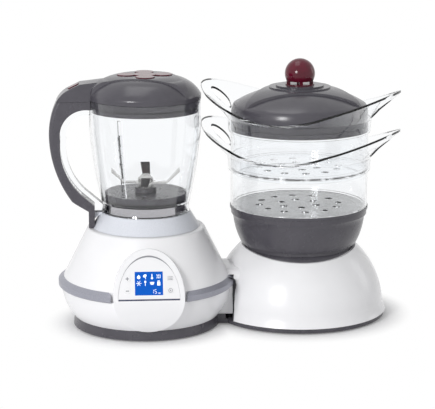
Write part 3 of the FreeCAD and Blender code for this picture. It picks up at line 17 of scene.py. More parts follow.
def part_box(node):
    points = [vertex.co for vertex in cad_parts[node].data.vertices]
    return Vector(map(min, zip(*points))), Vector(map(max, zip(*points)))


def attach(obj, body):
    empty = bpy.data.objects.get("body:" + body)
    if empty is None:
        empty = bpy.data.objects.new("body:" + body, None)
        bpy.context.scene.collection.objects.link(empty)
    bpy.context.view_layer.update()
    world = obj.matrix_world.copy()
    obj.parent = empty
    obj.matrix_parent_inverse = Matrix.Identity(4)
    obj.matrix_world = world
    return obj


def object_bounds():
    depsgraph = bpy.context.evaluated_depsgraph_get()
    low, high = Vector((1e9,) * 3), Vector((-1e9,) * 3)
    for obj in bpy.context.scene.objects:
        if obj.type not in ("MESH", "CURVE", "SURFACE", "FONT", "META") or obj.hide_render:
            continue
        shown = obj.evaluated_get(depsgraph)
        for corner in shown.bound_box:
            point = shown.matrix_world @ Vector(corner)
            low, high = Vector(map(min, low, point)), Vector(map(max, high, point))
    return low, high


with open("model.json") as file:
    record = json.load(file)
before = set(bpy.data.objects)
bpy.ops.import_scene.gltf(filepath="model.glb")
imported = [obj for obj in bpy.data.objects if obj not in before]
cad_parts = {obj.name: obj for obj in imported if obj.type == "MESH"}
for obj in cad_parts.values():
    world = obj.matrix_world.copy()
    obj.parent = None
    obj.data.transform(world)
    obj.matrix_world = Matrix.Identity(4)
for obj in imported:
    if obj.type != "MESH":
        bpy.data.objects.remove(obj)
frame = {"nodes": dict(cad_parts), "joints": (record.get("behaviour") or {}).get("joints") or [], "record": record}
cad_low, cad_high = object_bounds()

MM = 0.001
nodes = frame["nodes"]
joints = {joint["name"]: joint for joint in frame["joints"]}
print("box in mm:", [round(side / MM) for side in cad_high - cad_low])

# %% [markdown]
# ## Smooth shells
# The casings and clear walls are smooth mouldings, but the frame's meshes are loose triangles and would
# show every facet. New, finer meshes would cure that, but a node whose shape is right should stay. So two
# modifiers weld the triangles and split only the edges where the surface really turns.

# %% Smooth shading
WELD_DISTANCE = 0.005 * MM
CREASE = math.radians(32)


def shade_smooth(piece):
    """Welds a mesh and keeps an edge sharp only where its faces meet at more than the crease angle."""
    for face in piece.data.polygons:
        face.use_smooth = True
    weld = piece.modifiers.new("weld", "WELD")
    weld.merge_threshold = WELD_DISTANCE
    split = piece.modifiers.new("creases", "EDGE_SPLIT")
    split.split_angle = CREASE


for node in nodes.values():
    shade_smooth(node)
print("smoothed", len(nodes), "nodes")

# %% [markdown]
# ## Colours and nodes
# Colours are written as sRGB hex values, the way a picker shows them, and turned to the linear values that
# shaders mix. A material could be wired by hand in the editor. In a script, one small function that adds a
# node with its settings and links keeps every finish to a few lines.

# %% Colour and node helpers
def linear(hex_colour):
    """Linear RGBA of an sRGB hex colour, by the sRGB standard's own curve."""
    channels = [int(hex_colour[start:start + 2], 16) / 255 for start in (1, 3, 5)]
    curve = [c / 12.92 if c <= 0.04045 else ((c + 0.055) / 1.055) ** 2.4 for c in channels]
    return curve + [1.0]


def add_node(tree, kind, settings=None, links=None):
    """Adds a node, sets its sockets or properties, and links its inputs from other sockets."""
    node = tree.nodes.new(kind)
    for name, value in (settings or {}).items():
        if isinstance(name, int) or name in node.inputs:
            node.inputs[name].default_value = value
        else:
            setattr(node, name, value)
    for name, source in (links or {}).items():
        tree.links.new(source, node.inputs[name])
    return node


def new_finish(name, colour, **sockets):
    """A material with one Principled shader, and its tree, that shader and its Object coordinates."""
    material = bpy.data.materials.new(name)
    material.use_nodes = True
    tree = material.node_tree
    shader = tree.nodes["Principled BSDF"]
    shader.inputs["Base Color"].default_value = linear(colour)
    for socket, value in sockets.items():
        shader.inputs[socket.replace("_", " ")].default_value = value
    place = add_node(tree, "ShaderNodeTexCoord").outputs["Object"]
    return material, tree, shader, place


print("helpers ready, test grey:", [round(c, 3) for c in linear("#808080")[:3]])

# %% [markdown]
# ## Drift, gloss and grain
# No moulding has one even colour: under soft light it drifts a little, its gloss wanders, and its mould
# leaves a grain. Pictures could hold all that, but they need files and an unwrapped surface. Noise on
# Object coordinates needs neither, and its scale follows from a real size in millimetres.

# %% Surface helpers
# noise gathers round one half, so colours and gloss use only the middle of its range
DRIFT_FROM, DRIFT_TO = 0.35, 0.65
GLOSS_FROM, GLOSS_TO = 0.3, 0.7


def per_metre(size_mm):
    """Noise scale that makes one cell of a pattern this many millimetres wide."""
    return 1 / (size_mm * MM)


def mottle(tree, shader, place, colour_a, colour_b, size_mm):
    """Slow drift between two close colours, as in any moulding seen under soft light."""
    noise = add_node(tree, "ShaderNodeTexNoise", {"Scale": per_metre(size_mm), "Detail": 3.0},
                     {"Vector": place})
    ramp = add_node(tree, "ShaderNodeValToRGB", links={"Fac": noise.outputs["Fac"]})
    ramp.color_ramp.elements[0].position = DRIFT_FROM
    ramp.color_ramp.elements[1].position = DRIFT_TO
    ramp.color_ramp.elements[0].color = linear(colour_a)
    ramp.color_ramp.elements[1].color = linear(colour_b)
    tree.links.new(ramp.outputs["Color"], shader.inputs["Base Color"])


def uneven_gloss(tree, shader, place, low, high, size_mm):
    """Roughness that wanders between two values."""
    noise = add_node(tree, "ShaderNodeTexNoise", {"Scale": per_metre(size_mm), "Detail": 2.0},
                     {"Vector": place})
    spread = add_node(tree, "ShaderNodeMapRange",
                      {"From Min": GLOSS_FROM, "From Max": GLOSS_TO, "To Min": low, "To Max": high},
                      {"Value": noise.outputs["Fac"]})
    tree.links.new(spread.outputs["Result"], shader.inputs["Roughness"])


def grain(tree, shader, place, size_mm, depth_mm, strength):
    """Fine bump of a mould's surface."""
    noise = add_node(tree, "ShaderNodeTexNoise", {"Scale": per_metre(size_mm), "Detail": 4.0},
                     {"Vector": place})
    bump = add_node(tree, "ShaderNodeBump", {"Strength": strength, "Distance": depth_mm * MM},
                    {"Height": noise.outputs["Fac"]})
    tree.links.new(bump.outputs["Normal"], shader.inputs["Normal"])


print("a cell of 4 mm has a scale of", per_metre(4), "per metre")

# %% [markdown]
# ## White casings and charcoal pieces
# The casings are white ABS from a polished mould: bright, with a faint orange peel. Bowl, grip and tray are
# charcoal polypropylene from a finely eroded mould, which gives it a satin sheen. The two lids are the same
# plastic from a smoother mould, so the edges of their scoops shine. The two charcoals differ only in gloss
# and grain, so one function makes both.

# %% White and charcoal finishes
def white_abs():
    """White moulded ABS: high gloss with a faint orange peel."""
    material, tree, shader, place = new_finish("white_moulded_abs", "#F1F1F3", IOR=1.53)
    mottle(tree, shader, place, "#F0F0F2", "#F3F3F5", 40)
    uneven_gloss(tree, shader, place, 0.20, 0.27, 25)
    # orange peel of about 1 mm is too fine to show, so it is drawn at 4 mm
    grain(tree, shader, place, 4, 0.02, 0.25)
    return material


def charcoal_pp(name, smooth, dull, grain_strength):
    """Charcoal polypropylene, slightly mottled: dull from an eroded mould, brighter from a smoother one."""
    material, tree, shader, place = new_finish(name, "#4A484F", IOR=1.49)
    mottle(tree, shader, place, "#48464D", "#4D4B52", 18)
    uneven_gloss(tree, shader, place, smooth, dull, 12)
    # the mould's grain is about 0.3 mm, and is drawn at 1.5 mm
    grain(tree, shader, place, 1.5, 0.02, grain_strength)
    return material


plastics = {"white": white_abs(), "dark": charcoal_pp("charcoal_eroded_pp", 0.22, 0.30, 0.35)}
bright_lid = charcoal_pp("charcoal_polished_pp", 0.20, 0.26, 0.10)
print("white and charcoal:", ", ".join(plastics), "and", bright_lid.name)

# %% [markdown]
# ## Lacquer, cherry and drive pieces
# The waist band is ABS sprayed silver-grey. Its flakes could be small mirrors that turn the shading normal,
# but from this far they only make the colour shimmer, so a fine mottle does. The knob, cap and button are
# cherry ABS with a high gloss. Drive pieces are black filled nylon and feet are rubber: both are dull.

# %% Other plastic finishes
def silver_band():
    """Silver-grey lacquer with fine flakes over ABS."""
    material, tree, shader, place = new_finish("silver_grey_lacquer", "#9B9CA7", IOR=1.5, Metallic=0.25)
    # the flakes are far under 0.1 mm, and are drawn at 1.2 mm
    mottle(tree, shader, place, "#9798A3", "#A0A1AB", 1.2)
    uneven_gloss(tree, shader, place, 0.30, 0.42, 3)
    return material


def cherry_abs():
    """Cherry ABS with a polished surface."""
    material, tree, shader, place = new_finish("cherry_gloss_abs", "#580920", IOR=1.42)
    mottle(tree, shader, place, "#54081E", "#5E0B25", 10)
    uneven_gloss(tree, shader, place, 0.12, 0.18, 8)
    return material


def black_nylon():
    """Black glass-filled nylon of the drive pieces."""
    material, tree, shader, place = new_finish("black_filled_nylon", "#1E1E21", IOR=1.53)
    mottle(tree, shader, place, "#1B1B1E", "#242428", 2)
    uneven_gloss(tree, shader, place, 0.42, 0.58, 3)
    return material


def rubber():
    """Dark moulded rubber."""
    material, tree, shader, place = new_finish("dark_moulded_rubber", "#26262A", IOR=1.52)
    mottle(tree, shader, place, "#232327", "#2B2B30", 3)
    uneven_gloss(tree, shader, place, 0.65, 0.8, 4)
    grain(tree, shader, place, 0.8, 0.03, 0.4)
    return material


plastics.update(band=silver_band(), cherry=cherry_abs(), black=black_nylon(), rubber=rubber())
print("plastics:", ", ".join(plastics))

# %% [markdown]
# ## Clear copolyester
# The jug and the baskets are clear copolyester. A thin sheet would need a faked see-through shader. These
# walls are real solids, so plain clear plastic with one index is enough: light bends in at one face and out
# at the other, and edges go dark. The jug's skirt hides the coupling behind silver-grey paint, a painted
# reflection that stands in for what the clear skirt mirrors and for the shaded deck seen through it. It is
# the same moulding, so one material does both, and the height above the table tells where the paint ends.

# %% Clear finishes
# height up to which the clear skirt is painted silver-grey, as painted reflection and shade
SKIRT_PAINT_Z = 119.5 * MM
CLEAR_TINT = "#FCFDFE"
CLEAR_IOR = 1.45
SKIRT_PAINT_ROUGHNESS = 0.28
CLEAR_ROUGHNESS = 0.01


def clear_copolyester():
    """Water-clear copolyester with a polished surface."""
    material, tree, shader, place = new_finish("clear_copolyester", CLEAR_TINT, IOR=CLEAR_IOR,
                                               Transmission_Weight=1.0)
    uneven_gloss(tree, shader, place, 0.0, 0.02, 30)
    return material


def clear_with_painted_skirt_reflection():
    """Clear copolyester whose skirt is painted silver-grey up to a sharp line, as a painted reflection."""
    material, tree, shader, place = new_finish("clear_copolyester_painted_skirt_reflection", CLEAR_TINT, IOR=CLEAR_IOR)
    height = add_node(tree, "ShaderNodeSeparateXYZ", links={"Vector": place}).outputs["Z"]
    above = add_node(tree, "ShaderNodeMath", {"operation": "GREATER_THAN", 1: SKIRT_PAINT_Z}, {0: height})
    # the painted silver drifts between two greys in cells of 1.5 mm
    skirt_paint_drift = add_node(tree, "ShaderNodeTexNoise", {"Scale": per_metre(1.5), "Detail": 3.0},
                      {"Vector": place})
    silver = add_node(tree, "ShaderNodeValToRGB", links={"Fac": skirt_paint_drift.outputs["Fac"]})
    silver.color_ramp.elements[0].color = linear("#D3D6DE")
    silver.color_ramp.elements[1].color = linear("#E2E5EC")
    colour = add_node(tree, "ShaderNodeMixRGB", {"Color2": linear(CLEAR_TINT)},
                      {"Fac": above.outputs[0], "Color1": silver.outputs["Color"]})
    gloss = add_node(tree, "ShaderNodeMapRange", {"To Min": SKIRT_PAINT_ROUGHNESS, "To Max": CLEAR_ROUGHNESS},
                     {"Value": above.outputs[0]})
    tree.links.new(colour.outputs["Color"], shader.inputs["Base Color"])
    tree.links.new(gloss.outputs["Result"], shader.inputs["Roughness"])
    tree.links.new(above.outputs[0], shader.inputs["Transmission Weight"])
    return material


plastics["clear"] = clear_copolyester()
skirt_reflection_finish = clear_with_painted_skirt_reflection()
print("clear index:", CLEAR_IOR, "painted skirt up to mm:", round(SKIRT_PAINT_Z / MM, 1))

# %% [markdown]
# ## Metals and electronics
# The ring under the jug's floor is turned and polished, so it mirrors what is round it, while the blades and
# motor parts are brushed. Brushing could be an anisotropic shader, but that needs a direction on every face.
# Noise that is stretched flat gives streaks without one. The board behind the face is green solder mask, and
# the display glows because it is lit from behind.

# %% Metal and board finishes
BRUSH_STRETCH = (1.0, 1.0, 14.0)
LATHE_STRETCH = (0.02, 0.02, 1.0)


def stainless():
    """Stainless steel, brushed level: streaks in the roughness that are fine only in height."""
    material, tree, shader, place = new_finish("brushed_stainless", "#C9C8C6", Metallic=1.0)
    level = add_node(tree, "ShaderNodeMapping", {"Scale": BRUSH_STRETCH}, {"Vector": place})
    uneven_gloss(tree, shader, level.outputs["Vector"], 0.14, 0.26, 6)
    return material


def polished_steel():
    """Turned and polished steel: a mirror with faint rings left by the lathe."""
    material, tree, shader, place = new_finish("polished_turned_steel", "#B0AEB1", Metallic=1.0)
    # the lathe's rings are about 0.1 mm apart and are drawn at 1.5 mm
    rings = add_node(tree, "ShaderNodeMapping", {"Scale": LATHE_STRETCH}, {"Vector": place})
    uneven_gloss(tree, shader, rings.outputs["Vector"], 0.03, 0.12, 1.5)
    return material


def green_board():
    """Circuit board: green mask with wandering bands of brighter green, about 16 mm apart."""
    material, tree, shader, place = new_finish("green_solder_mask", "#1F6B3A", IOR=1.5, Roughness=0.35)
    wave = add_node(tree, "ShaderNodeTexWave", {"Scale": per_metre(50), "Distortion": 6.0},
                    {"Vector": place})
    ramp = add_node(tree, "ShaderNodeValToRGB", links={"Fac": wave.outputs["Color"]})
    ramp.color_ramp.elements[0].color = linear("#1A5C31")
    ramp.color_ramp.elements[1].color = linear("#2A8048")
    tree.links.new(ramp.outputs["Color"], shader.inputs["Base Color"])
    return material


def display_blue():
    """Backlit blue display under an anti-glare film, hence the low index: it glows and hardly shines."""
    material, tree, shader, place = new_finish("backlit_blue_display", "#073E93", IOR=1.2, Roughness=0.3,
                                               Emission_Color=linear("#0263C6"), Emission_Strength=0.5)
    # the cells of the panel are about 0.3 mm and are drawn at 0.8 mm
    mottle(tree, shader, place, "#063B8D", "#08419A", 0.8)
    return material


metals = {"steel": stainless(), "board": green_board(), "display": display_blue()}
bright_ring = polished_steel()
print("metals and electronics:", ", ".join(metals))

# %% [markdown]
# ## Painting the frame
# Each node already names its material slot in the record. Finishes could be listed node by node, but then a
# new node would go unpainted, so a node's finish comes from its slot. The jug, whose skirt carries a painted
# reflection in silver-grey, the polished ring and the bright lids are painted once more, with finishes of their
# own.

# %% Paint every node
finishes = {**plastics, **metals}
slot_of = {row["node"]: row["material_slot"] for row in frame["record"]["subparts"]}


def paint(piece, material):
    """Gives a piece one material."""
    piece.data.materials.clear()
    piece.data.materials.append(material)


for name, node in nodes.items():
    paint(node, finishes[slot_of[name]])
paint(nodes["jug_body"], skirt_reflection_finish)
paint(nodes["blade_nut"], bright_ring)
for name in ("steamer_lid", "lid_top_plate", "blender_lid"):
    paint(nodes[name], bright_lid)
print("painted", len(nodes), "nodes from", len(finishes), "finishes")

# %% [markdown]
# ## Finding the console's face
# Signs are printed on a plane that leans back. Its place could be typed in, but it would be wrong after the
# next change of a size. The key joints push straight into that plane, so their axis gives its normal, and
# the foremost points of a node give its front patch: middle, width and height.

# %% Front patches
PATCH_DEPTH = 0.01 * MM

into_face = Vector(joints["plus_press"]["axis"]).normalized()
face_out = -into_face
face_across = Vector((1, 0, 0))
face_up = face_out.cross(face_across).normalized()


def front_patch(node_name):
    """Middle, half width and half height of a node's foremost flat patch on the console."""
    points = [vertex.co for vertex in nodes[node_name].data.vertices]
    nearest = max(point.dot(face_out) for point in points)
    flat = [point for point in points if nearest - point.dot(face_out) < PATCH_DEPTH]
    across = [point.dot(face_across) for point in flat]
    up = [point.dot(face_up) for point in flat]
    middle = (face_across * (min(across) + max(across)) / 2 + face_up * (min(up) + max(up)) / 2
              + face_out * nearest)
    return middle, (max(across) - min(across)) / 2, (max(up) - min(up)) / 2


def face_frame(middle):
    """Matrix that stands a flat sign, drawn in millimetres, on the face."""
    turn = Matrix((face_across, face_up, face_out)).transposed().to_4x4()
    return Matrix.Translation(middle) @ turn @ Matrix.Scale(MM, 4)


display_middle, display_half_w, display_half_h = front_patch("display_panel")
print("display in mm:", round(2 * display_half_w / MM, 1), "x", round(2 * display_half_h / MM, 1))

# %% [markdown]
# ## Printed signs
# A printed sign is a film of ink. It could be a pattern in the key's material, but a film of its own stays
# sharp and is easy to move. Each sign is drawn flat, in millimetres, from bars and discs.

# %% Bars and discs
DISC_SIDES = 28


def add_bar(sign, x, y, width, height, turn=0.0):
    """Adds a flat bar, centred and turned, to a sign."""
    place = Matrix.Translation((x, y, 0)) @ Matrix.Rotation(math.radians(turn), 4, "Z")
    size = Matrix.Diagonal((width / 2, height / 2, 1, 1))
    bmesh.ops.create_grid(sign, x_segments=1, y_segments=1, size=1, matrix=place @ size)


def add_disc(sign, x, y, radius, stretch=1.0, turn=0.0):
    """Adds a flat disc or oval to a sign."""
    place = Matrix.Translation((x, y, 0)) @ Matrix.Rotation(math.radians(turn), 4, "Z")
    size = Matrix.Diagonal((radius, radius * stretch, 1, 1))
    bmesh.ops.create_circle(sign, cap_ends=True, segments=DISC_SIDES, radius=1, matrix=place @ size)


print("a disc has", DISC_SIDES, "sides")

# %% [markdown]
# ## From a flat shape to a piece
# A flat face alone has no back. A Solidify modifier could give it one. An extrusion does so in the mesh
# itself, so that it is closed at once. The film is lifted off the surface by a hair, so that the two don't
# flicker, and then the piece rides with the body that it is printed on.

# %% Sign pieces
INK_T = 0.06
INK_LIFT = 0.02


def add_piece(name, shape, material, body):
    """Turns a finished bmesh into an object that rides with a body."""
    bmesh.ops.recalc_face_normals(shape, faces=shape.faces[:])
    mesh = bpy.data.meshes.new(name)
    shape.to_mesh(mesh)
    shape.free()
    piece = bpy.data.objects.new(name, mesh)
    bpy.context.scene.collection.objects.link(piece)
    paint(piece, material)
    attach(piece, body)


def print_sign(name, sign, middle, material, body, lift=INK_LIFT, thick=INK_T):
    """Thickens a flat sign and stands it on the face, lifted off it or sunk into it by some millimetres."""
    made = bmesh.ops.extrude_face_region(sign, geom=sign.faces[:])
    top = [part for part in made["geom"] if isinstance(part, bmesh.types.BMVert)]
    bmesh.ops.translate(sign, vec=(0, 0, thick), verts=top)
    bmesh.ops.translate(sign, vec=(0, 0, lift), verts=sign.verts[:])
    bmesh.ops.transform(sign, matrix=face_frame(middle), verts=sign.verts[:])
    add_piece(name, sign, material, body)


print("signs are", INK_T, "mm thick")

# %% [markdown]
# ## Inks
# The keys are pad-printed in grey, a dull film that is never quite even. The display's pictures are lit
# areas. They could be plain white, but a little light of their own makes them read as lit in the shade too.

# %% Ink finishes
def grey_ink():
    """Grey pad-printing ink on the keys."""
    material, tree, shader, place = new_finish("grey_print_ink", "#8C8D93", IOR=1.5)
    mottle(tree, shader, place, "#87888E", "#919298", 2)
    uneven_gloss(tree, shader, place, 0.4, 0.5, 2)
    return material


def lit_segments():
    """White lit segments of the display."""
    material, tree, shader, place = new_finish("lit_display_segment", "#F4F8FF", IOR=1.5, Roughness=0.3,
                                               Emission_Color=linear("#F0F6FF"), Emission_Strength=0.35)
    mottle(tree, shader, place, "#EEF4FF", "#F8FBFF", 1)
    return material


ink = grey_ink()
lit = lit_segments()
print("inks:", ink.name, "and", lit.name)

# %% [markdown]
# ## Signs on the keys
# The keys carry plain signs: plus and minus on the left, a list and a dot in a ring on the right. Text
# objects could make the first two, but bars and discs make all four alike and need no font.

# %% Key signs
# all in millimetres: strokes of plus and minus, lines and dots of the list, bars and dot of the ring
STROKE_L, STROKE_T = 3.4, 0.9
UPRIGHT_Y, UPRIGHT_L = 1.08, 1.25
LIST_STEP = 1.4
LINE_X, LINE_L, LINE_T = 0.5, 3.6, 0.6
BULLET_X, BULLET_R = -2.2, 0.45
RING_R = 1.9
RING_BAR_L, RING_BAR_T = 0.98, 0.5
RING_DOT_R = 0.7
RING_BARS = 12


def plus_sign(sign):
    """A level stroke with half an upright on either side of it."""
    add_bar(sign, 0, 0, STROKE_L, STROKE_T)
    for side in (1, -1):
        add_bar(sign, 0, side * UPRIGHT_Y, STROKE_T, UPRIGHT_L)


def minus_sign(sign):
    """A level stroke."""
    add_bar(sign, 0, 0, STROKE_L, STROKE_T)


def list_sign(sign):
    """Three lines, each behind its dot."""
    for row in (-LIST_STEP, 0, LIST_STEP):
        add_bar(sign, LINE_X, row, LINE_L, LINE_T)
        add_disc(sign, BULLET_X, row, BULLET_R)


def start_sign(sign):
    """A dot in a ring of short bars."""
    for step in range(RING_BARS):
        angle = 360 * step / RING_BARS
        x, y = RING_R * math.cos(math.radians(angle)), RING_R * math.sin(math.radians(angle))
        add_bar(sign, x, y, RING_BAR_T, RING_BAR_L, angle)
    add_disc(sign, 0, 0, RING_DOT_R)


key_signs = {"plus": plus_sign, "minus": minus_sign, "mode": list_sign, "start": start_sign}
for key, draw in key_signs.items():
    sign = bmesh.new()
    draw(sign)
    print_sign(key + "_sign", sign, front_patch("key_" + key)[0], ink, key + "_key")
print("key signs:", ", ".join(key_signs))

# %% [markdown]
# ## Webs round the keys
# On the real face no gap shows round the keys, because a soft white web joins them to the plate. A web that
# held the key would have to stretch as it moves. So each web is a thin ring in the gap, a little below the
# plate and just clear of the key, and it stays with the plate.

# %% Key webs
# all in millimetres: the gap round a key, how far it stands proud, half the flat at its ends, and the web
KEY_GAP = 0.3
KEY_PROUD = 0.3
KEY_FLAT = 0.1
WEB_PLAY = 0.02
WEB_FOOT = 0.45
WEB_T = 0.4
SAME_POINT = 0.001
# degrees from one point of a web to the next
WEB_STEP = 10


def pill_point(half_w, half_h, grow, angle):
    """Point on the outline of a key, moved outwards by some millimetres."""
    radius = half_h - KEY_FLAT
    across, up = math.cos(angle), math.sin(angle)
    x = math.copysign(half_w - radius, across) + (radius + grow) * across
    return x, math.copysign(half_h - radius, up) + (radius + grow) * up, 0


def add_strip(sign, outer, inner):
    """Adds flat faces between two rows of points."""
    pairs = [(sign.verts.new(a), sign.verts.new(b)) for a, b in zip(outer, inner)]
    for (a, b), (c, d) in zip(pairs, pairs[1:]):
        sign.faces.new((a, b, d, c))


# the first point is half a step round, so that none falls where the outline changes sides
angles = [math.radians(WEB_STEP / 2 + degrees) for degrees in range(0, 360 + WEB_STEP, WEB_STEP)]
for key in key_signs:
    middle, half_w, half_h = front_patch("key_" + key)
    half_w, half_h = half_w / MM, half_h / MM
    web = bmesh.new()
    add_strip(web, [pill_point(half_w, half_h, KEY_GAP - WEB_PLAY, angle) for angle in angles],
              [pill_point(half_w, half_h, WEB_PLAY, angle) for angle in angles])
    bmesh.ops.remove_doubles(web, verts=web.verts[:], dist=SAME_POINT)
    print_sign(key + "_web", web, middle, plastics["white"], "base", -KEY_PROUD - WEB_FOOT, WEB_T)
print("key webs:", len(key_signs))

# %% [markdown]
# ## Painted shade in the slot and along the arch
# A blue-grey strip in the slot at the foot of the plate is painted shade: it stands in for the shadow in that
# gap. A thin crescent of grey ink follows the plate's arched edge, thick in the middle and running out to both
# sides: a painted shadow of the step where the plate sits below its border. A bevelled curve would be a tube,
# so the crescent is drawn flat, between two rows of points.

# %% Painted slot shade and arch shadow
# all in millimetres: the slot under the plate, and the strip of painted shade in it
SLOT_H = 1.8
STRIP_PLAY = 0.1
STRIP_FOOT = 0.8
STRIP_T = 0.6
# the crescent of painted shadow: half its length, its thickness in the middle, and its edge
CRESCENT_HALF = 24.0
CRESCENT_T = 1.3
CRESCENT_EDGE = 0.05
CRESCENT_STEPS = 20


def slot_shade_finish():
    """Blue-grey strip of painted shade in the slot."""
    material, tree, shader, place = new_finish("painted_slot_shade", "#4B4D63", IOR=1.49)
    mottle(tree, shader, place, "#484A60", "#505267", 4)
    uneven_gloss(tree, shader, place, 0.2, 0.3, 4)
    return material


face_middle, face_half_w, face_half_h = front_patch("console_face")
arch_w, arch_h = face_half_w / MM, 2 * face_half_h / MM
# a strip of painted shade fills the slot under the plate
strip = bmesh.new()
add_bar(strip, 0, -arch_h / 2 - SLOT_H / 2, 2 * arch_w - 2 * STRIP_PLAY, SLOT_H - STRIP_PLAY)
print_sign("face_slot_shade", strip, face_middle, slot_shade_finish(), "base", -STRIP_FOOT, STRIP_T)

# a crescent of grey ink along the arch: painted shadow of the step above the plate
painted_step_shadow = bmesh.new()
spread = [CRESCENT_HALF * step / CRESCENT_STEPS for step in range(-CRESCENT_STEPS, CRESCENT_STEPS + 1)]
edge = [arch_h * math.sqrt(1 - (x / arch_w) ** 2) - arch_h / 2 - CRESCENT_EDGE for x in spread]
depth = [CRESCENT_EDGE + CRESCENT_T * (1 - (x / CRESCENT_HALF) ** 2) for x in spread]
add_strip(painted_step_shadow, [(x, y, 0) for x, y in zip(spread, edge)],
          [(x, y - t, 0) for x, y, t in zip(spread, edge, depth)])
print_sign("face_shadow_ink", painted_step_shadow, face_middle, ink, "base")
print("face in mm:", round(2 * arch_w, 1), "x", round(arch_h, 1))

# %% [markdown]
# ## Painted shade between the two casings
# The steamer's casing is cut out round the blender's waist. A dark rubber-finished strip runs up the front edge
# of that cut and bends over the end of the waist band. It is painted shade: it stands in for the shadow in the
# gap between the two casings. A bevelled curve could follow the edge too, but its section would turn at the
# bend. A small rectangle that is pushed from point to point stays level, and it changes its width on the way.

# %% Painted gap shade
GAP_SHADE_DEPTH = 0.8
# across, depth and height from the blender's axis, and half the strip's width there, all in millimetres
GAP_SHADE_PATH = [(88.2, -26.9, 6.5, 0.6), (88.8, -23.9, 12, 0.7), (89.2, -22.2, 19, 0.7), (89.4, -20.7, 27, 1.0),
             (89.7, -18.7, 33, 1.3), (90.3, -17.0, 38, 1.6), (90.4, -16.9, 43, 1.9), (89.6, -19.3, 47, 2.0),
             (88.6, -21.2, 49.4, 2.0), (86.6, -22.4, 51.6, 1.8), (84.0, -24.6, 52.7, 0.8)]

# a dark strip of painted shade, pushed along the gap between the casings
gap_shade_strip = bmesh.new()
foot = Vector(joints["motor_spin"]["pos_m"])
foot.z = 0
x, y, z, half = GAP_SHADE_PATH[0]
section = Matrix.Diagonal((half, GAP_SHADE_DEPTH / 2, 1, 1))
first = bmesh.ops.create_grid(gap_shade_strip, x_segments=1, y_segments=1, size=1,
                              matrix=Matrix.Translation((x, y, z)) @ section)
end = first["verts"][0].link_faces[0]
for x, y, z, wide in GAP_SHADE_PATH[1:]:
    pushed = bmesh.ops.extrude_face_region(gap_shade_strip, geom=[end])["geom"]
    end = next(part for part in pushed if isinstance(part, bmesh.types.BMFace))
    centre = end.calc_center_median()
    for vert in end.verts:
        vert.co = Vector((x + (vert.co.x - centre.x) * wide / half, y + vert.co.y - centre.y, z))
    half = wide
bmesh.ops.transform(gap_shade_strip, matrix=Matrix.Translation(foot) @ Matrix.Scale(MM, 4), verts=gap_shade_strip.verts[:])
# the strip of painted shade takes the dark rubber finish
add_piece("casing_gap_shade", gap_shade_strip, plastics["rubber"], "base")
print("seal points:", len(GAP_SHADE_PATH))

# %% [markdown]
# ## Signs on the display
# The display shows two rows of plain pictures: a drop, a leaf, a thermometer, steam, frost, a spoon, a bowl
# and a jar. They could be a piece each. On glass they are lit areas of one film, so all of them are drawn
# into one flat shape.

# %% Pictures
def drop_picture(sign, x, y):
    """A disc under a square that stands on its corner."""
    add_disc(sign, x, y - 0.7, 1.7)
    add_bar(sign, x, y + 0.55, 1.75, 1.75, 45)


def leaf_picture(sign, x, y):
    """A leaning oval on its stalk."""
    add_disc(sign, x - 0.3, y + 0.8, 1.9, 0.75, 40)
    add_bar(sign, x + 0.3, y - 1.6, 0.6, 2.0)


def thermometer_picture(sign, x, y):
    """A tube and its bulb."""
    add_bar(sign, x, y + 0.7, 0.9, 3.6)
    add_disc(sign, x, y - 1.7, 1.1)


def steam_picture(sign, x, y):
    """Three bent plumes."""
    for column in (-1.5, 0, 1.5):
        add_bar(sign, x + column, y + 1.1, 0.6, 1.9, 20)
        add_bar(sign, x + column, y - 1.0, 0.6, 1.9, -20)


def frost_picture(sign, x, y):
    """Six arms round a dot."""
    add_disc(sign, x, y, 0.6)
    for turn in range(0, 360, 60):
        angle = math.radians(turn)
        add_bar(sign, x + 1.7 * math.cos(angle), y + 1.7 * math.sin(angle), 1.9, 0.55, turn)


def spoon_picture(sign, x, y):
    """A spoon on its handle."""
    add_disc(sign, x, y + 1.5, 1.0, 1.3)
    add_bar(sign, x, y - 1.2, 0.6, 2.8)


def bowl_picture(sign, x, y):
    """A bowl under its rim."""
    add_bar(sign, x, y + 0.9, 4.4, 0.8)
    add_disc(sign, x, y - 0.5, 1.9, 0.55)


def jar_picture(sign, x, y):
    """A jar and its lid."""
    add_bar(sign, x, y - 0.5, 3.0, 3.8)
    add_bar(sign, x, y + 2.2, 2.4, 0.8)


picture_rows = [(7.0, (drop_picture, leaf_picture, thermometer_picture, steam_picture)),
                (0.2, (frost_picture, spoon_picture, bowl_picture, jar_picture))]
picture_columns = (-10.0, -3.6, 3.2, 9.8)
pictures = bmesh.new()
for height, pictured in picture_rows:
    for across, draw in zip(picture_columns, pictured):
        draw(pictures, across, height)
print("pictures on the display:", sum(len(pictured) for _, pictured in picture_rows))

# %% [markdown]
# ## Time on the display
# Below the pictures is a time of two digits, with a short bar after it. Each digit lights some of seven
# bars, as such panels do, so a table of bars is enough and no font is needed.

# %% Time
# which bars light up for a figure, and where a bar stands: steps across, steps up, turn
SEGMENTS = {"1": "bc", "5": "afgcd"}
SEGMENT_PLACES = {"a": (0, 2, 0), "b": (1, 1, 90), "c": (1, -1, 90), "d": (0, -2, 0), "f": (-1, 1, 90),
                  "g": (0, 0, 0)}
SEGMENT_L = 1.45
SEGMENT_T = 0.42
STEP_ACROSS = 0.95
STEP_UP = 0.98
TIME = [("1", 3.4), ("5", 6.6)]
TIME_Y = -8.2
# the short bar after the time: across, up, width and height
AFTER_TIME = (10.2, -9.9, 2.2, 0.6)


def digit(sign, figure, x, y):
    """One seven-bar digit, about 2.3 mm wide and 4.3 mm tall."""
    for name in SEGMENTS[figure]:
        across, up, turn = SEGMENT_PLACES[name]
        add_bar(sign, x + across * STEP_ACROSS, y + up * STEP_UP, SEGMENT_L, SEGMENT_T, turn)


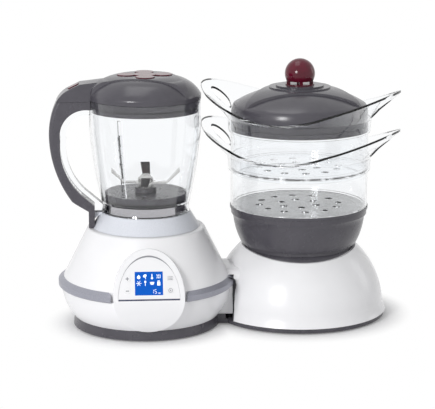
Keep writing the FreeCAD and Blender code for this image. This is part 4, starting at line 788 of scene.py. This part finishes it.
for figure, across in TIME:
    digit(pictures, figure, across, TIME_Y)
add_bar(pictures, *AFTER_TIME)
print_sign("display_signs", pictures, display_middle, lit, "base")
print("time on the display:", "".join(figure for figure, _ in TIME))

# %% [markdown]
# ## Studio floor
# A studio lights its paper sweep until it is plain white. Here that much light would flood the object too,
# so the floor only looks white to the camera, and to rays that reflect or pass through the clear walls.
# Close to the two units it is plain paper that takes their shadow, and further out it fades to even white.

# %% Floor
FLOOR_HALF = 6.0
# how far the shadow reaches from the two units, and the share of plain white right under them
SHADOW_REACH = 32 * MM
FLOOR_GLOW = 0.15


def seen_rays(tree):
    """One where a ray comes from the camera, from a reflection or through a clear wall."""
    path = add_node(tree, "ShaderNodeLightPath")
    first = add_node(tree, "ShaderNodeMath", {"operation": "MAXIMUM"},
                     {0: path.outputs["Is Camera Ray"], 1: path.outputs["Is Glossy Ray"]})
    both = add_node(tree, "ShaderNodeMath", {"operation": "MAXIMUM"},
                    {0: first.outputs[0], 1: path.outputs["Is Transmission Ray"]})
    return both.outputs[0]


def pale_floor(spots):
    """White floor that takes a soft shadow close to two round spots and is plain white further out."""
    material = bpy.data.materials.new("pale_studio_floor")
    material.use_nodes = True
    tree = material.node_tree
    tree.nodes.clear()
    place = add_node(tree, "ShaderNodeTexCoord").outputs["Object"]
    gaps = []
    for centre, radius in spots:
        far = add_node(tree, "ShaderNodeVectorMath", {"operation": "DISTANCE", 1: centre}, {0: place})
        gap = add_node(tree, "ShaderNodeMath", {"operation": "SUBTRACT", 1: radius},
                       {0: far.outputs["Value"]})
        gaps.append(gap.outputs[0])
    nearest = add_node(tree, "ShaderNodeMath", {"operation": "MINIMUM"}, {0: gaps[0], 1: gaps[1]})
    fade = add_node(tree, "ShaderNodeMapRange",
                    {"interpolation_type": "SMOOTHSTEP", "From Min": 0.0, "From Max": SHADOW_REACH,
                     "To Min": FLOOR_GLOW},
                    {"Value": nearest.outputs[0]})
    share = add_node(tree, "ShaderNodeMath", {"operation": "MULTIPLY"},
                     {0: fade.outputs["Result"], 1: seen_rays(tree)})
    paper = add_node(tree, "ShaderNodeBsdfDiffuse", {"Color": linear("#F6F6F7")})
    glow = add_node(tree, "ShaderNodeEmission", {"Color": (1, 1, 1, 1), "Strength": 1.0})
    mix = add_node(tree, "ShaderNodeMixShader",
                   links={0: share.outputs[0], 1: paper.outputs[0], 2: glow.outputs[0]})
    add_node(tree, "ShaderNodeOutputMaterial", links={"Surface": mix.outputs[0]})
    return material


sheet = bmesh.new()
bmesh.ops.create_grid(sheet, x_segments=1, y_segments=1, size=FLOOR_HALF)
floor_mesh = bpy.data.meshes.new("floor")
sheet.to_mesh(floor_mesh)
sheet.free()
floor = bpy.data.objects.new("floor", floor_mesh)
bpy.context.scene.collection.objects.link(floor)
blender_x, blender_y, _ = joints["motor_spin"]["pos_m"]
plate_low, plate_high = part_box("base_plate")
bowl_low, bowl_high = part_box("bowl")
bowl_middle = (bowl_low + bowl_high) / 2
paint(floor, pale_floor([((blender_x, blender_y, 0), blender_x - plate_low.x),
                         ((bowl_middle.x, bowl_middle.y, 0), plate_high.x - bowl_middle.x)]))
print("floor", 2 * FLOOR_HALF, "m across")

# %% [markdown]
# ## Sky and lamps
# Lamps alone would leave the undersides dark, so an even sky gives most of the light, and it is white
# wherever it is seen. A soft key light from the front left models the round forms and leaves the highlights
# on the lids. A broad lamp overhead lights the upper faces, and a weak rim light from behind on the right
# keeps the far edges from going flat.

# %% Sky and lamps
SKY_LIGHT = 0.50
# place in metres, width and height in metres, power in watts
LAMPS = {"key": ((-1.0, -1.5, 0.8), 0.42, 0.56, 16.6),
         "rim": ((1.6, 0.5, 0.6), 0.4, 0.8, 1.2),
         "top": ((-0.3, 0.1, 1.8), 1.2, 0.8, 5)}


def studio_sky():
    """Even sky: white where it is seen, dimmer where it lights."""
    world = bpy.data.worlds.new("studio_sky")
    world.use_nodes = True
    tree = world.node_tree
    tree.nodes.clear()
    level = add_node(tree, "ShaderNodeMapRange", {"To Min": SKY_LIGHT, "To Max": 1.0},
                     {"Value": seen_rays(tree)})
    sky = add_node(tree, "ShaderNodeBackground", {"Color": (1, 1, 1, 1)},
                   {"Strength": level.outputs["Result"]})
    add_node(tree, "ShaderNodeOutputWorld", links={"Surface": sky.outputs[0]})
    bpy.context.scene.world = world


def soft_box(name, place, aim, width, height, power):
    """Rectangular area light at a place, aimed at a point."""
    lamp = bpy.data.lights.new(name, "AREA")
    lamp.shape = "RECTANGLE"
    lamp.size, lamp.size_y = width, height
    lamp.energy = power
    light = bpy.data.objects.new(name, lamp)
    light.location = place
    light.rotation_euler = (Vector(aim) - Vector(place)).to_track_quat("-Z", "Y").to_euler()
    bpy.context.scene.collection.objects.link(light)


studio_sky()
object_middle = (cad_low + cad_high) / 2
for name, (place, width, height, power) in LAMPS.items():
    soft_box(name, place, object_middle, width, height, power)
print("lamps:", ", ".join(LAMPS))

# %% [markdown]
# ## Camera
# The camera stands 1.8 m in front of the blender's axis, about half a metre up, turned 4 degrees and
# tipped down 12.4 degrees. Its long lens comes from the same perspective fit as the object's sizes. A nearer
# camera with a shorter lens would frame the object as well, but its rims would look rounder.

# %% Camera
IMAGE_W = 435
FOCAL_PX = 1787.0
SENSOR_W = 36.0
VIEW_END = 50
CAMERA_OFFSET = Vector((-51.8, -1800.8, 0)) * MM
CAMERA_Z = 522.0 * MM
CAMERA_TURN = math.radians(-4.0)
CAMERA_PITCH = math.radians(12.43)

lens = bpy.data.cameras.new("camera")
lens.sensor_width = SENSOR_W
lens.lens = SENSOR_W * FOCAL_PX / IMAGE_W
lens.clip_end = VIEW_END
camera = bpy.data.objects.new("camera", lens)
camera.location = Vector((blender_x, blender_y, CAMERA_Z)) + CAMERA_OFFSET
camera.rotation_euler = (math.pi / 2 - CAMERA_PITCH, 0, CAMERA_TURN)
bpy.context.scene.collection.objects.link(camera)
bpy.context.scene.camera = camera
bpy.context.scene.view_settings.view_transform = "Standard"
print("lens in mm:", round(lens.lens, 1))
